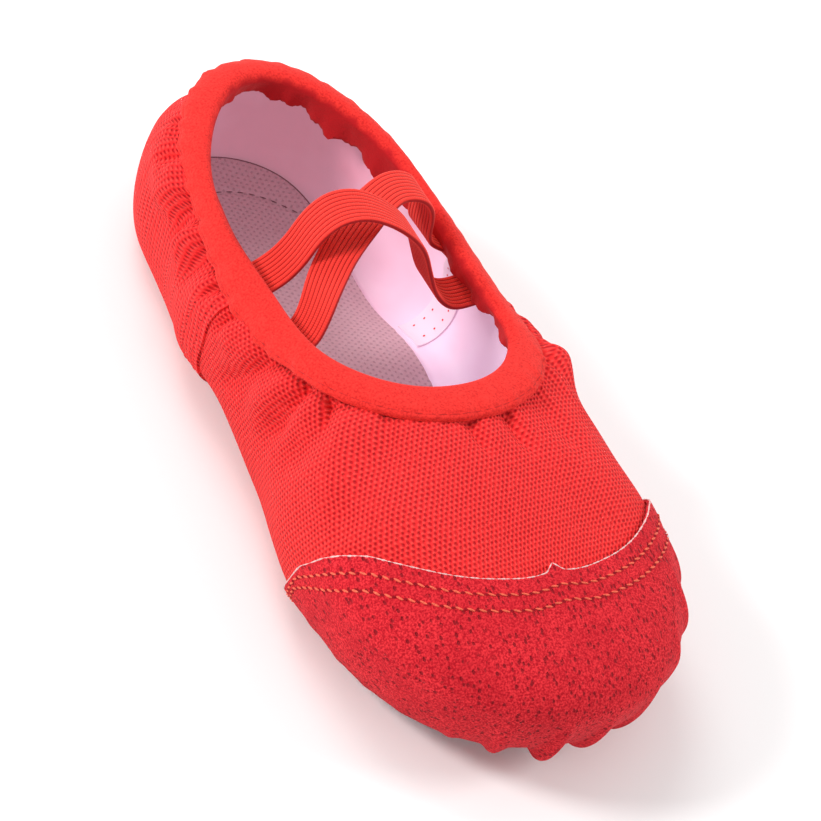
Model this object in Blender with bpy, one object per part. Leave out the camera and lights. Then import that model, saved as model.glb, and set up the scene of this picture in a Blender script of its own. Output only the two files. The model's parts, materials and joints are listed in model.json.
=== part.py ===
"""Split-sole dance practice slipper.

A canvas upper with a pleated suede toe cap, two suede sole pads, an insole, a bound collar and two
crossed elastics.
Metres, +Z up. The toe points along +X, the floor is z = 0 and the origin lies under the middle of the shoe.
"""

import math
from collections import namedtuple

import bmesh
import bpy
import numpy as np

# Driving sizes of the shoe
LENGTH = 0.180
BALL_WIDTH = 0.0768
WAIST_WIDTH = 0.0642
HEEL_WIDTH = 0.0532
HEEL_HEIGHT = 0.0400
INSTEP_HEIGHT = 0.0402
SIDE_HEIGHT = 0.0350
TOE_SPRING = 0.0050
ARCH_RISE = 0.0040

# Material thicknesses, and the gap between pieces that touch
GAP = 0.0003
UPPER_WALL = 0.0015
CAP_THICKNESS = 0.0009
PAD_THICKNESS = 0.0018
INSOLE_THICKNESS = 0.0018
BINDING_THICKNESS = 0.0010
STRAP_THICKNESS = 0.0012
STRAP_WIDTH = 0.0090
STRAP_ROOT_DROP = 0.0038
STRAP_ROOT_GAP = 0.0012
SEAM_STEP = 0.0006

# Plan of the last: where its ends begin to round off
CAP_STACK = CAP_THICKNESS + GAP
PLEAT_AT_TIP = 0.0004
HEEL_X = -LENGTH / 2
TOE_X = LENGTH / 2 - CAP_STACK - PLEAT_AT_TIP
HEEL_ROUND = 0.0315
TOE_ROUND = 0.0397
ROUNDNESS = 2.15

# Collar opening in plan, with the lean that keeps the side meridians upright
COLLAR_BACK_X = -0.0778
THROAT_X = 0.0186
COLLAR_BACK_ROUND = 0.032
COLLAR_FRONT_ROUND = 0.020
COLLAR_LEAN = 0.45

# Collar binding: width of its outer and inner leg, and the swell of the elastic inside it
BINDING_OUTSIDE = 0.0070
BINDING_INSIDE = 0.0054
BINDING_SWELL = 0.0006

# Sole pads in plan; the tip of the teardrop points to the heel (-1) or to the toe (+1)
Pad = namedtuple("Pad", "middle length width tip")
FOREFOOT_PAD = Pad(middle=0.0415, length=0.0750, width=0.0590, tip=-1)
HEEL_PAD = Pad(middle=-0.0610, length=0.0470, width=0.0370, tip=1)
TEARDROP_TAPER = 0.55
PAD_SEAT = 0.0090
INSOLE_INSET = 0.0010

# Arch and toe spring of the underside, along the foot
ARCH_BACK_X = -0.042
ARCH_FRONT_X = 0.006
SPRING_START_X = 0.040
SPRING_END_X = 2 * TOE_X - SPRING_START_X

# Toe cap: its reach to each side of the toe, its tuck under the pad, and its pleats
CAP_REACH = math.radians(68)
CAP_TUCK = 0.0040
CAP_LIFT_RUN = math.radians(7)
PLEATS = 17
PLEAT_DEPTH = 0.0017
PLEAT_CROWD = 0.28

# Side seam: the ring angle that it follows, the width of its step and of its lap
SEAM_ANGLE = math.radians(76)
SEAM_EDGE = math.radians(0.5)
SEAM_LAP = math.radians(6)

# Mesh resolution
RING_STEPS = 28
LOWER_STEPS = 5
UPPER_STEPS = 7
BOTTOM_STEPS = 4
BINDING_STEPS = 56
STRAP_STEPS = 28
BULGE_LEVEL = 0.30
DERIVATIVE_STEP = 1e-4

# Sections of the foot from heel to toe: the plan half width, the height of the widest point, how far the
# wall rolls under to the sole below it, and the angle through which it turns over above it
Foot = namedtuple("Foot", "along half_width height roll turn")
FOOT = (
    Foot(along=0.00, half_width=HEEL_WIDTH / 2, height=0.0180, roll=0.0045, turn=math.radians(79)),
    Foot(along=0.15, half_width=HEEL_WIDTH / 2, height=0.0175, roll=0.0055, turn=math.radians(78)),
    Foot(along=0.34, half_width=WAIST_WIDTH / 2 - 0.0002, height=0.0168, roll=0.0082, turn=math.radians(76)),
    Foot(along=0.49, half_width=WAIST_WIDTH / 2, height=0.0159, roll=0.0080, turn=math.radians(75)),
    Foot(along=0.72, half_width=BALL_WIDTH / 2, height=0.0179, roll=0.0070, turn=math.radians(72)),
    Foot(along=1.00, half_width=BALL_WIDTH / 2 - 0.003, height=0.0209, roll=0.0070, turn=math.radians(70)),
)

# Sections of the collar edge from the back of the heel to the throat
Collar = namedtuple("Collar", "along half_width height")
COLLAR = (
    Collar(along=0.00, half_width=0.0190, height=HEEL_HEIGHT),
    Collar(along=0.45, half_width=0.0254, height=SIDE_HEIGHT + 0.0005),
    Collar(along=0.60, half_width=0.0254, height=SIDE_HEIGHT),
    Collar(along=1.00, half_width=0.0217, height=INSTEP_HEIGHT),
)

# Top edge of the toe cap from the tip of the toe to the sole at the side, by level on the wall
CapEdge = namedtuple("CapEdge", "along level")
CAP_EDGE = (
    CapEdge(along=0.00, level=0.726),
    CapEdge(along=0.04, level=0.711),
    CapEdge(along=0.25, level=0.699),
    CapEdge(along=0.50, level=0.672),
    CapEdge(along=0.70, level=0.622),
    CapEdge(along=0.80, level=0.560),
    CapEdge(along=0.88, level=0.470),
    CapEdge(along=0.94, level=0.340),
    CapEdge(along=0.97, level=0.230),
    CapEdge(along=1.00, level=0.120),
)

# Free run of each elastic across the opening, from the right side to the left
StrapPoint = namedtuple("StrapPoint", "x y z")
STRAP_OVER = (
    StrapPoint(x=-0.0261, y=-0.0212, z=0.0318),
    StrapPoint(x=-0.0258, y=-0.0180, z=0.0350),
    StrapPoint(x=-0.0255, y=-0.0158, z=0.0395),
    StrapPoint(x=-0.0253, y=-0.0138, z=0.0463),
    StrapPoint(x=-0.0245, y=-0.0106, z=0.0514),
    StrapPoint(x=-0.0233, y=-0.0060, z=0.0530),
    StrapPoint(x=-0.0218, y=-0.0015, z=0.0522),
    StrapPoint(x=-0.0203, y=0.0032, z=0.0499),
    StrapPoint(x=-0.0194, y=0.0074, z=0.0462),
    StrapPoint(x=-0.0190, y=0.0115, z=0.0390),
    StrapPoint(x=-0.0182, y=0.0152, z=0.0325),
    StrapPoint(x=-0.0172, y=0.0195, z=0.0292),
)
STRAP_UNDER = (
    StrapPoint(x=-0.0090, y=-0.0205, z=0.0315),
    StrapPoint(x=-0.0115, y=-0.0169, z=0.0360),
    StrapPoint(x=-0.0146, y=-0.0145, z=0.0390),
    StrapPoint(x=-0.0178, y=-0.0117, z=0.0412),
    StrapPoint(x=-0.0205, y=-0.0088, z=0.0431),
    StrapPoint(x=-0.0247, y=-0.0035, z=0.0451),
    StrapPoint(x=-0.0306, y=0.0042, z=0.0457),
    StrapPoint(x=-0.0328, y=0.0096, z=0.0472),
    StrapPoint(x=-0.0323, y=0.0146, z=0.0467),
    StrapPoint(x=-0.0322, y=0.0178, z=0.0430),
    StrapPoint(x=-0.0325, y=0.0190, z=0.0382),
    StrapPoint(x=-0.0328, y=0.0204, z=0.0335),
)

# Where each elastic is sewn in under the binding: ring angles of its right and left end
StrapEnds = namedtuple("StrapEnds", "right left")
STRAP_OVER_ENDS = StrapEnds(right=math.radians(287.5), left=math.radians(79.7))
STRAP_UNDER_ENDS = StrapEnds(right=math.radians(274.5), left=math.radians(67))


def smoothstep(start, end, x):
    """0 before start, 1 after end, and an even curve between them."""
    share = np.clip((np.asarray(x, float) - start) / (end - start), 0.0, 1.0)
    return share * share * (3 - 2 * share)


def through(rows, column, along):
    """A smooth curve without overshoot through one column of a table of sections."""
    x = np.array([row.along for row in rows])
    y = np.array([getattr(row, column) for row in rows])
    step = np.diff(x)
    slope = np.diff(y) / step
    tangent = np.empty_like(y)
    tangent[0], tangent[-1] = slope[0], slope[-1]
    product = slope[:-1] * slope[1:]
    total = np.where(slope[:-1] + slope[1:] == 0, 1.0, slope[:-1] + slope[1:])
    tangent[1:-1] = np.where(product > 0, 2 * product / total, 0.0)
    at = np.clip(np.asarray(along, float), x[0], x[-1])
    row = np.clip(np.searchsorted(x, at) - 1, 0, len(x) - 2)
    t = (at - x[row]) / step[row]
    return (
        (1 + 2 * t) * (1 - t) ** 2 * y[row]
        + t * (1 - t) ** 2 * step[row] * tangent[row]
        + t * t * (3 - 2 * t) * y[row + 1]
        + t * t * (t - 1) * step[row] * tangent[row + 1]
    )


def ring(angle, rows, back, front, back_round, front_round):
    """A closed ring with rounded ends: angle 0 is its back, pi its front, and +Y comes first."""
    along = (1 - np.cos(angle)) / 2
    x = back + (front - back) * along
    rear = np.clip((back + back_round - x) / back_round, 0, 1)
    fore = np.clip((x - front + front_round) / front_round, 0, 1)
    ends = ((1 - rear**ROUNDNESS) * (1 - fore**ROUNDNESS)) ** (1 / ROUNDNESS)
    y = np.sign(np.sin(angle)) * through(rows, "half_width", along) * ends
    return np.stack([x, y, through(rows, "height", along)], axis=-1)


def widest_ring(angle):
    return ring(angle, FOOT, HEEL_X, TOE_X, HEEL_ROUND, TOE_ROUND)


def collar_ring(angle):
    leaned = angle + COLLAR_LEAN * np.sin(angle)
    return ring(leaned, COLLAR, COLLAR_BACK_X, THROAT_X, COLLAR_BACK_ROUND, COLLAR_FRONT_ROUND)


def plan_normal(angle):
    """Outward direction of the widest ring in plan."""
    along = widest_ring(angle + DERIVATIVE_STEP) - widest_ring(angle - DERIVATIVE_STEP)
    normal = np.stack([-along[..., 1], along[..., 0], np.zeros_like(along[..., 0])], axis=-1)
    return normal / np.linalg.norm(normal, axis=-1, keepdims=True)


def toe_spring(x):
    return 2 * TOE_SPRING * smoothstep(SPRING_START_X, SPRING_END_X, x)


def bottom_height(x):
    """Height of the upper's underside: it lies on the pads, rises over the arch and springs at the toe."""
    arch = np.clip((x - ARCH_BACK_X) / (ARCH_FRONT_X - ARCH_BACK_X), 0, 1)
    lift_end = TOE_X * math.cos(CAP_REACH + CAP_LIFT_RUN / 2)
    lift_start = TOE_X * math.cos(CAP_REACH + 1.5 * CAP_LIFT_RUN)
    over_cap = CAP_STACK * smoothstep(lift_start, lift_end, x)
    return PAD_THICKNESS + GAP + ARCH_RISE * np.sin(math.pi * arch) ** 2 + over_cap + toe_spring(x)


def wall(angle, level):
    """The upper's outer surface: level 0 is the feather edge at the sole, 1 the collar edge."""
    angle, level = np.broadcast_arrays(np.asarray(angle, float), np.asarray(level, float))
    wide = widest_ring(angle)
    normal = plan_normal(angle)
    along = (1 - np.cos(angle)) / 2
    roll = through(FOOT, "roll", along)
    feather = wide - normal * roll[..., None]
    height = wide[..., 2] - bottom_height(feather[..., 0])
    quarter = (1 - level / BULGE_LEVEL) * math.pi / 2
    under = wide - normal * (roll * (1 - np.cos(quarter)))[..., None]
    under[..., 2] = wide[..., 2] - height * np.sin(quarter)
    edge = collar_ring(angle)
    full_turn = through(FOOT, "turn", along)
    turn = (level - BULGE_LEVEL) / (1 - BULGE_LEVEL) * full_turn
    inward = ((1 - np.cos(turn)) / (1 - np.cos(full_turn)))[..., None]
    upward = np.sin(turn) / np.sin(full_turn)
    over = wide + (edge - wide) * inward
    over[..., 2] = wide[..., 2] + (edge[..., 2] - wide[..., 2]) * upward
    return np.where((level < BULGE_LEVEL)[..., None], under, over)


def wall_normal(angle, level):
    angle, level = np.broadcast_arrays(np.asarray(angle, float), np.asarray(level, float))
    around = wall(angle + DERIVATIVE_STEP, level) - wall(angle - DERIVATIVE_STEP, level)
    up = wall(angle, level + DERIVATIVE_STEP) - wall(angle, level - DERIVATIVE_STEP)
    normal = np.cross(up, around)
    return normal / np.linalg.norm(normal, axis=-1, keepdims=True)


def skin(angle, level, offset=0.0):
    """A point of the upper's outer surface, moved out along its normal."""
    return wall(angle, level) + wall_normal(angle, level) * np.asarray(offset, float)[..., None]


def level_below_edge(angle, distance):
    """The level that lies a distance down the wall from the collar edge."""
    levels = np.linspace(1.0, BULGE_LEVEL / 2, 60)
    points = wall(np.full_like(levels, angle), levels)
    run = np.concatenate([[0], np.cumsum(np.linalg.norm(np.diff(points, axis=0), axis=1))])
    return np.interp(distance, run, levels)


def seam_lap(angle):
    """Extra thickness where the heel quarter laps over the front of the upper at the side seam."""
    behind = SEAM_ANGLE - np.where(angle > math.pi, 2 * math.pi - angle, angle)
    lapped = 1 - smoothstep(SEAM_LAP, 2 * SEAM_LAP, behind)
    return SEAM_STEP * smoothstep(-SEAM_EDGE, SEAM_EDGE, behind) * lapped


def half_ring_angles():
    """Angles from heel to toe, with columns at the step of the side seam and at the lift over the cap."""
    lift = math.pi - CAP_REACH - CAP_LIFT_RUN * np.array([1.5, 0.5])
    fixed = np.concatenate([[SEAM_ANGLE - SEAM_EDGE, SEAM_ANGLE + SEAM_EDGE], lift])
    even = np.linspace(0, math.pi, RING_STEPS + 1)
    clear = np.min(np.abs(even[:, None] - fixed), axis=1) > math.radians(2)
    return np.sort(np.concatenate([even[clear], fixed]))


def teardrop(pad, inset=0.0, count=36):
    """Outline of a sole pad in plan, softly pointed on its tip side, drawn in by an inset."""
    turn = np.linspace(0, 2 * math.pi, count, endpoint=False)
    swell = np.abs(np.sin(turn / 2)) ** TEARDROP_TAPER
    widest = np.max(np.sin(turn) * swell)
    x = pad.middle + pad.tip * np.cos(turn) * (pad.length / 2 - inset)
    y = np.sin(turn) * swell / widest * (pad.width / 2 - inset)
    return np.stack([x, y], axis=-1)


def pad_reach(pad, direction):
    """Distance from a pad's middle to its outline along plan directions."""
    outline = teardrop(pad, count=200) - [pad.middle, 0.0]
    heading = np.arctan2(outline[:, 1], outline[:, 0])
    order = np.argsort(heading)
    reach = np.linalg.norm(outline, axis=1)
    return np.interp(direction, heading[order], reach[order], period=2 * math.pi)


def make_material(name, colour, roughness):
    material = bpy.data.materials.new(name)
    material.use_nodes = True
    shader = material.node_tree.nodes["Principled BSDF"]
    shader.inputs["Base Color"].default_value = (*colour, 1.0)
    shader.inputs["Roughness"].default_value = roughness
    return material


def add_object(name, points, faces, material):
    mesh = bpy.data.meshes.new(name)
    mesh.from_pydata([tuple(p) for p in points], [], faces)
    body = bmesh.new()
    body.from_mesh(mesh)
    bmesh.ops.remove_doubles(body, verts=body.verts, dist=1e-7)
    bmesh.ops.recalc_face_normals(body, faces=body.faces)
    body.to_mesh(mesh)
    body.free()
    mesh.shade_smooth()
    mesh.set_sharp_from_angle(angle=math.radians(40))
    if material:
        mesh.materials.append(material)
    shoe_part = bpy.data.objects.new(name, mesh)
    bpy.context.scene.collection.objects.link(shoe_part)
    return shoe_part


def thick_sheet(outer, inner, rim_ends=True):
    """Points and faces of a closed sheet between two grids: its sides are rimmed, and its ends if asked."""
    rows, columns = outer.shape[:2]
    points = np.concatenate([outer.reshape(-1, 3), inner.reshape(-1, 3)])
    below = rows * columns
    faces = []
    for r in range(rows - 1):
        for c in range(columns - 1):
            corner = r * columns + c
            quad = (corner, corner + 1, corner + columns + 1, corner + columns)
            faces.append(quad)
            faces.append(tuple(below + i for i in reversed(quad)))
        for c in (0, columns - 1):
            corner = r * columns + c
            faces.append((corner, corner + columns, below + corner + columns, below + corner))
    if rim_ends:
        for r in (0, rows - 1):
            for c in range(columns - 1):
                corner = r * columns + c
                faces.append((corner, corner + 1, below + corner + 1, below + corner))
    return points, faces


def tube(sections, closed):
    """Points and faces through a row of closed sections, joined into a ring or capped at both ends."""
    rows, columns = sections.shape[:2]
    faces = []
    for r in range(rows if closed else rows - 1):
        for c in range(columns):
            here, after, beside = r * columns, (r + 1) % rows * columns, (c + 1) % columns
            faces.append((here + c, here + beside, after + beside, after + c))
    if not closed:
        faces.append(tuple(range(columns)))
        faces.append(tuple(range((rows - 1) * columns, rows * columns)))
    return sections.reshape(-1, 3), faces


def foot_sheet(angles, levels, offset, bottom_offset):
    """Grid of the upper from heel to toe: down one wall, across the bottom and up the other wall."""
    rows = []
    across = np.linspace(1, -1, BOTTOM_STEPS + 1)[1:-1]
    for angle in angles:
        left = skin(np.full_like(levels, angle), levels[::-1], offset(angle))
        right = left[::-1] * [1, -1, 1]
        feather = left[-1]
        height = bottom_height(feather[0]) - bottom_offset(angle)
        bottom = np.outer(across, [0.0, feather[1], 0.0]) + [feather[0], 0.0, height]
        rows.append(np.concatenate([left, bottom, right]))
    return np.array(rows)


def make_upper(material):
    """The canvas upper: one wall, open at the collar and over the two sole pads."""
    angles = half_ring_angles()
    lower = np.linspace(0, BULGE_LEVEL, LOWER_STEPS + 1)
    levels = np.concatenate([lower, np.linspace(BULGE_LEVEL, 1, UPPER_STEPS + 1)[1:]])
    binding_top = 1.0 - smoothstep(0.55, 0.72, levels[::-1])
    outer = foot_sheet(angles, levels, lambda a: seam_lap(a) * binding_top, seam_lap)
    inner = foot_sheet(angles, levels, lambda a: np.full_like(levels, -UPPER_WALL), lambda a: -UPPER_WALL)
    upper = add_object("upper", *thick_sheet(outer, inner, rim_ends=False), material)
    for name, pad in (("forefoot_seat_cutter", FOREFOOT_PAD), ("heel_seat_cutter", HEEL_PAD)):
        outline = teardrop(pad, PAD_SEAT)
        depth = PAD_THICKNESS + UPPER_WALL + TOE_SPRING + CAP_STACK + GAP
        low, high = (np.column_stack([outline, np.full(len(outline), z)]) for z in (0.0, depth))
        cutter = add_object(name, *tube(np.array([low, high]), closed=False), None)
        cutter.hide_render = True
        cutter.display_type = "WIRE"
        cut = upper.modifiers.new(name, "BOOLEAN")
        cut.operation = "DIFFERENCE"
        cut.solver = "EXACT"
        cut.object = cutter


def cap_shares():
    """Columns of the toe cap as shares of its reach, three to a pleat, the pleats widest at the toe."""
    even = np.linspace(-1, 1, 2001)
    phase = even * (1 - PLEAT_CROWD) + PLEAT_CROWD * even**3
    return np.interp(np.linspace(-1, 1, 3 * PLEATS + 1), phase, even)


def pleat(share):
    """Round ridges with narrow valleys between them, along the toe cap's reach."""
    phase = share * (1 - PLEAT_CROWD) + PLEAT_CROWD * share**3
    return np.abs(np.sin((phase + 1) / 2 * PLEATS * math.pi)) ** 0.7


def make_toe_cap(material):
    """The suede toe cap: wrapped over the toe and pleated in under the forefoot pad."""
    lower = np.linspace(0, BULGE_LEVEL, LOWER_STEPS + 1)
    inward = np.linspace(0, 1, 5)[1:]
    middle = np.array([FOREFOOT_PAD.middle, 0.0])
    outer, inner = [], []
    for share in cap_shares():
        top = through(CAP_EDGE, "level", abs(share))
        upper = np.linspace(min(top, BULGE_LEVEL), top, 5)[1:]
        levels = np.concatenate([np.minimum(lower, top), upper])[::-1]
        angle = np.full_like(levels, math.pi + share * CAP_REACH)
        spoke = wall(angle[0], 0.0)[:2] - middle
        length = np.linalg.norm(spoke)
        reach = pad_reach(FOREFOOT_PAD, math.atan2(spoke[1], spoke[0]))
        radius = length + (reach - CAP_TUCK - length) * inward
        flat = middle + radius[:, None] * spoke / length
        ceiling = np.column_stack([flat, bottom_height(flat[:, 0]) - GAP])
        ridge = PLEAT_DEPTH * pleat(share)
        at_feather = smoothstep(reach, reach + 0.0025, length)
        grow = at_feather + (1 - at_feather) * smoothstep(0.0, 0.06, levels)
        fold = ridge * grow * (1 - smoothstep(0.13, 0.36, levels))
        crease = ridge * smoothstep(reach, reach + 0.0025, radius)
        floor = ceiling - np.column_stack([np.zeros_like(flat), CAP_THICKNESS + crease])
        inner.append(np.concatenate([skin(angle, levels, np.full_like(levels, GAP)), ceiling]))
        outer.append(np.concatenate([skin(angle, levels, CAP_STACK + fold), floor]))
    add_object("toe_cap", *thick_sheet(np.array(outer), np.array(inner)), material)


def make_pad(name, pad, material):
    """A suede sole pad: flat on the floor, with the toe's spring in its front edge."""
    outline = teardrop(pad)
    half = len(outline) // 2
    left, right = outline[: half + 1], outline[np.r_[0, np.arange(len(outline) - 1, half - 1, -1)]]
    share = np.linspace(0, 1, 6)[None, :, None]
    plan = left[:, None, :] * (1 - share) + right[:, None, :] * share
    lift = toe_spring(plan[..., 0])
    bottom = np.concatenate([plan, lift[..., None]], axis=-1)
    top = np.concatenate([plan, lift[..., None] + PAD_THICKNESS], axis=-1)
    add_object(name, *thick_sheet(top, bottom, rim_ends=False), material)


def make_insole(material):
    """The insole, lying inside on the upper's bottom from feather edge to feather edge."""
    angles = half_ring_angles()
    edge = wall(angles, np.zeros_like(angles)) - plan_normal(angles) * INSOLE_INSET
    across = np.linspace(1, -1, BOTTOM_STEPS + 1)
    y = edge[:, 1, None] * across
    x = np.repeat(edge[:, 0, None], len(across), axis=1)
    floor = bottom_height(x) + UPPER_WALL + GAP
    bottom = np.stack([x, y, floor], axis=-1)
    top = np.stack([x, y, floor + INSOLE_THICKNESS], axis=-1)
    add_object("insole", *thick_sheet(top, bottom, rim_ends=False), material)


def binding_section(angle):
    """Closed section of the binding: out over the collar edge from one leg to the other and back."""
    outside = np.linspace(level_below_edge(angle, BINDING_OUTSIDE), 1.0, 4)
    inside = np.linspace(1.0, level_below_edge(angle, BINDING_INSIDE), 3)
    swell = BINDING_SWELL * np.sin(np.linspace(0, math.pi, len(outside)))
    middle = skin(angle, 1.0, -UPPER_WALL / 2)
    out = wall_normal(angle, 1.0)
    up = wall(angle, 1.0) - wall(angle, 1.0 - DERIVATIVE_STEP)
    up = up / np.linalg.norm(up)
    fold = np.linspace(0, math.pi, 5)[1:-1, None]
    arc = np.cos(fold) * out + np.sin(fold) * up
    near = UPPER_WALL / 2 + GAP
    far = near + BINDING_THICKNESS
    lining = -UPPER_WALL - GAP
    return np.concatenate([
        skin(np.full_like(outside, angle), outside, GAP + BINDING_THICKNESS + swell),
        middle + far * arc,
        skin(np.full_like(inside, angle), inside, np.full_like(inside, lining - BINDING_THICKNESS)),
        skin(np.full_like(inside, angle), inside[::-1], np.full_like(inside, lining)),
        middle + near * arc[::-1],
        skin(np.full_like(outside, angle), outside[::-1], np.full_like(outside, GAP)),
    ])


def make_binding(material):
    """The folded tape that binds the collar edge inside and out."""
    angles = np.linspace(0, 2 * math.pi, BINDING_STEPS, endpoint=False)
    sections = np.array([binding_section(angle) for angle in angles])
    add_object("collar_binding", *tube(sections, closed=True), material)


def smooth_path(points, count):
    """Points and directions along a smooth curve through given points."""
    run = np.concatenate([[0.0], np.cumsum(np.linalg.norm(np.diff(points, axis=0), axis=1))])
    tangent = np.gradient(points, run, axis=0)
    at = np.linspace(0, run[-1], count)
    row = np.clip(np.searchsorted(run, at) - 1, 0, len(run) - 2)
    step = np.diff(run)[row][:, None]
    t = ((at - run[row])[:, None]) / step
    path = (
        (1 + 2 * t) * (1 - t) ** 2 * points[row]
        + t * (1 - t) ** 2 * step * tangent[row]
        + t * t * (3 - 2 * t) * points[row + 1]
        + t * t * (t - 1) * step * tangent[row + 1]
    )
    heading = np.gradient(path, axis=0)
    return path, heading / np.linalg.norm(heading, axis=1, keepdims=True)


def strap_root(angle):
    """The point on the inner wall, below the binding, where an elastic is sewn in."""
    level = level_below_edge(angle, BINDING_INSIDE + STRAP_ROOT_DROP)
    return skin(angle, level, -UPPER_WALL - STRAP_ROOT_GAP)


def wall_heading(angle):
    """Direction toward the toe along the inner wall where an elastic is sewn in."""
    level = level_below_edge(angle, BINDING_INSIDE)
    along = wall(angle + DERIVATIVE_STEP, level) - wall(angle - DERIVATIVE_STEP, level)
    return along / np.linalg.norm(along) * np.sign(along[0])


def make_strap(name, rows, ends, material):
    """A flat elastic that is sewn in at both sides and stands in a slack arch over the opening."""
    points = np.array([strap_root(ends.right), *rows, strap_root(ends.left)])
    path, heading = smooth_path(points, STRAP_STEPS)
    share = np.linspace(0, 1, STRAP_STEPS)[:, None]
    from_right, from_left = 1 - smoothstep(0.05, 0.3, share), smoothstep(0.7, 0.95, share)
    lengthwise = np.array([1.0, 0.0, 0.0]) * (1 - from_right - from_left)
    lengthwise = lengthwise + from_right * wall_heading(ends.right) + from_left * wall_heading(ends.left)
    across = lengthwise - heading * np.sum(heading * lengthwise, axis=1, keepdims=True)
    across = across / np.linalg.norm(across, axis=1, keepdims=True)
    lift = np.cross(across, heading) * STRAP_THICKNESS / 2
    edge = across * STRAP_WIDTH / 2
    corners = [path + edge + lift, path - edge + lift, path - edge - lift, path + edge - lift]
    add_object(name, *tube(np.stack(corners, axis=1), closed=False), material)


def main():
    for old in list(bpy.data.objects):
        bpy.data.objects.remove(old)
    canvas = make_material("red_canvas", (0.80, 0.028, 0.022), 0.85)
    suede = make_material("red_suede", (0.62, 0.030, 0.030), 0.95)
    binding = make_material("red_binding", (0.86, 0.045, 0.030), 0.85)
    sole_suede = make_material("pale_sole_suede", (0.60, 0.66, 0.70), 0.90)
    lining = make_material("insole_mesh", (0.62, 0.48, 0.47), 0.90)
    elastic = make_material("red_elastic", (0.88, 0.050, 0.030), 0.75)
    make_upper(canvas)
    make_toe_cap(suede)
    make_pad("forefoot_sole", FOREFOOT_PAD, sole_suede)
    make_pad("heel_sole", HEEL_PAD, sole_suede)
    make_insole(lining)
    make_binding(binding)
    make_strap("elastic_strap_over", STRAP_OVER, STRAP_OVER_ENDS, elastic)
    make_strap("elastic_strap_under", STRAP_UNDER, STRAP_UNDER_ENDS, elastic)


main()
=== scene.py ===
"""Looks of a split-sole dance practice slipper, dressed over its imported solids.

Metres, +Z up, the toe along +X and the floor at z = 0. One surface function gives the wall of the
shoe by ring angle and level, as in the part's own source, and every soft piece is a fine mesh laid
on that surface.
"""

import json
import math
from collections import namedtuple

import bmesh
import bpy
import numpy as np
from mathutils import Matrix, Vector

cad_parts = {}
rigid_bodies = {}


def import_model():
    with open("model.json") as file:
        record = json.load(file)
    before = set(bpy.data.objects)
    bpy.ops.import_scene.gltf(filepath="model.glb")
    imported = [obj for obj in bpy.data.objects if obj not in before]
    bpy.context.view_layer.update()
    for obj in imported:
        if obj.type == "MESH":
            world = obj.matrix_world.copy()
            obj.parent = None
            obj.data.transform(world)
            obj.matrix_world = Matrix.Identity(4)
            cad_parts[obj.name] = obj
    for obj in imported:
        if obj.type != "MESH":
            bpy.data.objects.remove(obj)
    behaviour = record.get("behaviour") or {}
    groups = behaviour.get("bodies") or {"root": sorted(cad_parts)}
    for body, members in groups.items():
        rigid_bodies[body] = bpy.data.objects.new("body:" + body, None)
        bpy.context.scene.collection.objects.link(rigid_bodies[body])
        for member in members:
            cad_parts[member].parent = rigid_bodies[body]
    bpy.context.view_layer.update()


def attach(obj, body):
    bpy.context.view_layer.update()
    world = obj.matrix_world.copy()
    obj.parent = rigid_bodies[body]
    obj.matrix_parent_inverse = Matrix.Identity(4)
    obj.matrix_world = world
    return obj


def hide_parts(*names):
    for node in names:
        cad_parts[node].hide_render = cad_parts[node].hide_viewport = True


def table(columns, *rows):
    """A short table: rows of values under named columns."""
    row = namedtuple("Row", columns)
    return tuple(row(*values) for values in rows)


# Driving sizes of the shoe
LENGTH = 0.180
BALL_WIDTH = 0.0768
WAIST_WIDTH = 0.0642
HEEL_WIDTH = 0.0532
HEEL_HEIGHT = 0.0400
INSTEP_HEIGHT = 0.0402
SIDE_HEIGHT = 0.0350
TOE_SPRING = 0.0050
ARCH_RISE = 0.0040

# Thicknesses of the materials, sizes of the elastics, and the gap between pieces that touch
GAP = 0.0003
UPPER_WALL = 0.0015
CAP_THICKNESS = 0.0009
PAD_THICKNESS = 0.0018
INSOLE_THICKNESS = 0.0018
BINDING_THICKNESS = 0.0010
STRAP_THICKNESS = 0.0012
STRAP_WIDTH = 0.0090
STRAP_ROOT_RUN = 0.0044
STRAP_ROOT_GAP = 0.0012
SEAM_STEP = 0.0006

# Plan of the last: where its ends begin to round off
CAP_STACK = CAP_THICKNESS + GAP
PLEAT_AT_TIP = 0.0004
HEEL_X = -LENGTH / 2
TOE_X = LENGTH / 2 - CAP_STACK - PLEAT_AT_TIP
HEEL_ROUND = 0.0315
TOE_ROUND = 0.0397
ROUNDNESS = 2.15

# Collar opening in plan
COLLAR_BACK_X = -0.0778
THROAT_X = 0.0186
COLLAR_BACK_ROUND = 0.032
COLLAR_FRONT_ROUND = 0.020
COLLAR_LEAN = 0.45

# Collar binding
BINDING_OUTSIDE = 0.0070
BINDING_INSIDE = 0.0054
BINDING_SWELL = 0.0004
TURN_IN_LEAN = 0.15

# Sole pads in plan; the tip of the teardrop points to the heel (-1) or to the toe (+1)
Pad = namedtuple("Pad", "middle length width tip")
FOREFOOT_PAD = Pad(middle=0.0415, length=0.0750, width=0.0590, tip=-1)
HEEL_PAD = Pad(middle=-0.0610, length=0.0470, width=0.0370, tip=1)
TEARDROP_TAPER = 0.55

# Insole: its inset from the wall, its half width at the waist, the thin line of painted shade along
# its heel edge, and its seam
INSOLE_INSET = 0.0010
INSOLE_WAIST = 0.0218
INSOLE_SHADE_LINE_X = -0.057
INSOLE_SHADE_LINE_RADIUS = 0.00015
INSOLE_SEAM_REACH = 0.0180

# Arch and toe spring of the underside, along the foot
ARCH_BACK_X = -0.042
ARCH_FRONT_X = 0.006
SPRING_START_X = 0.040
SPRING_END_X = 2 * TOE_X - SPRING_START_X

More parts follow.
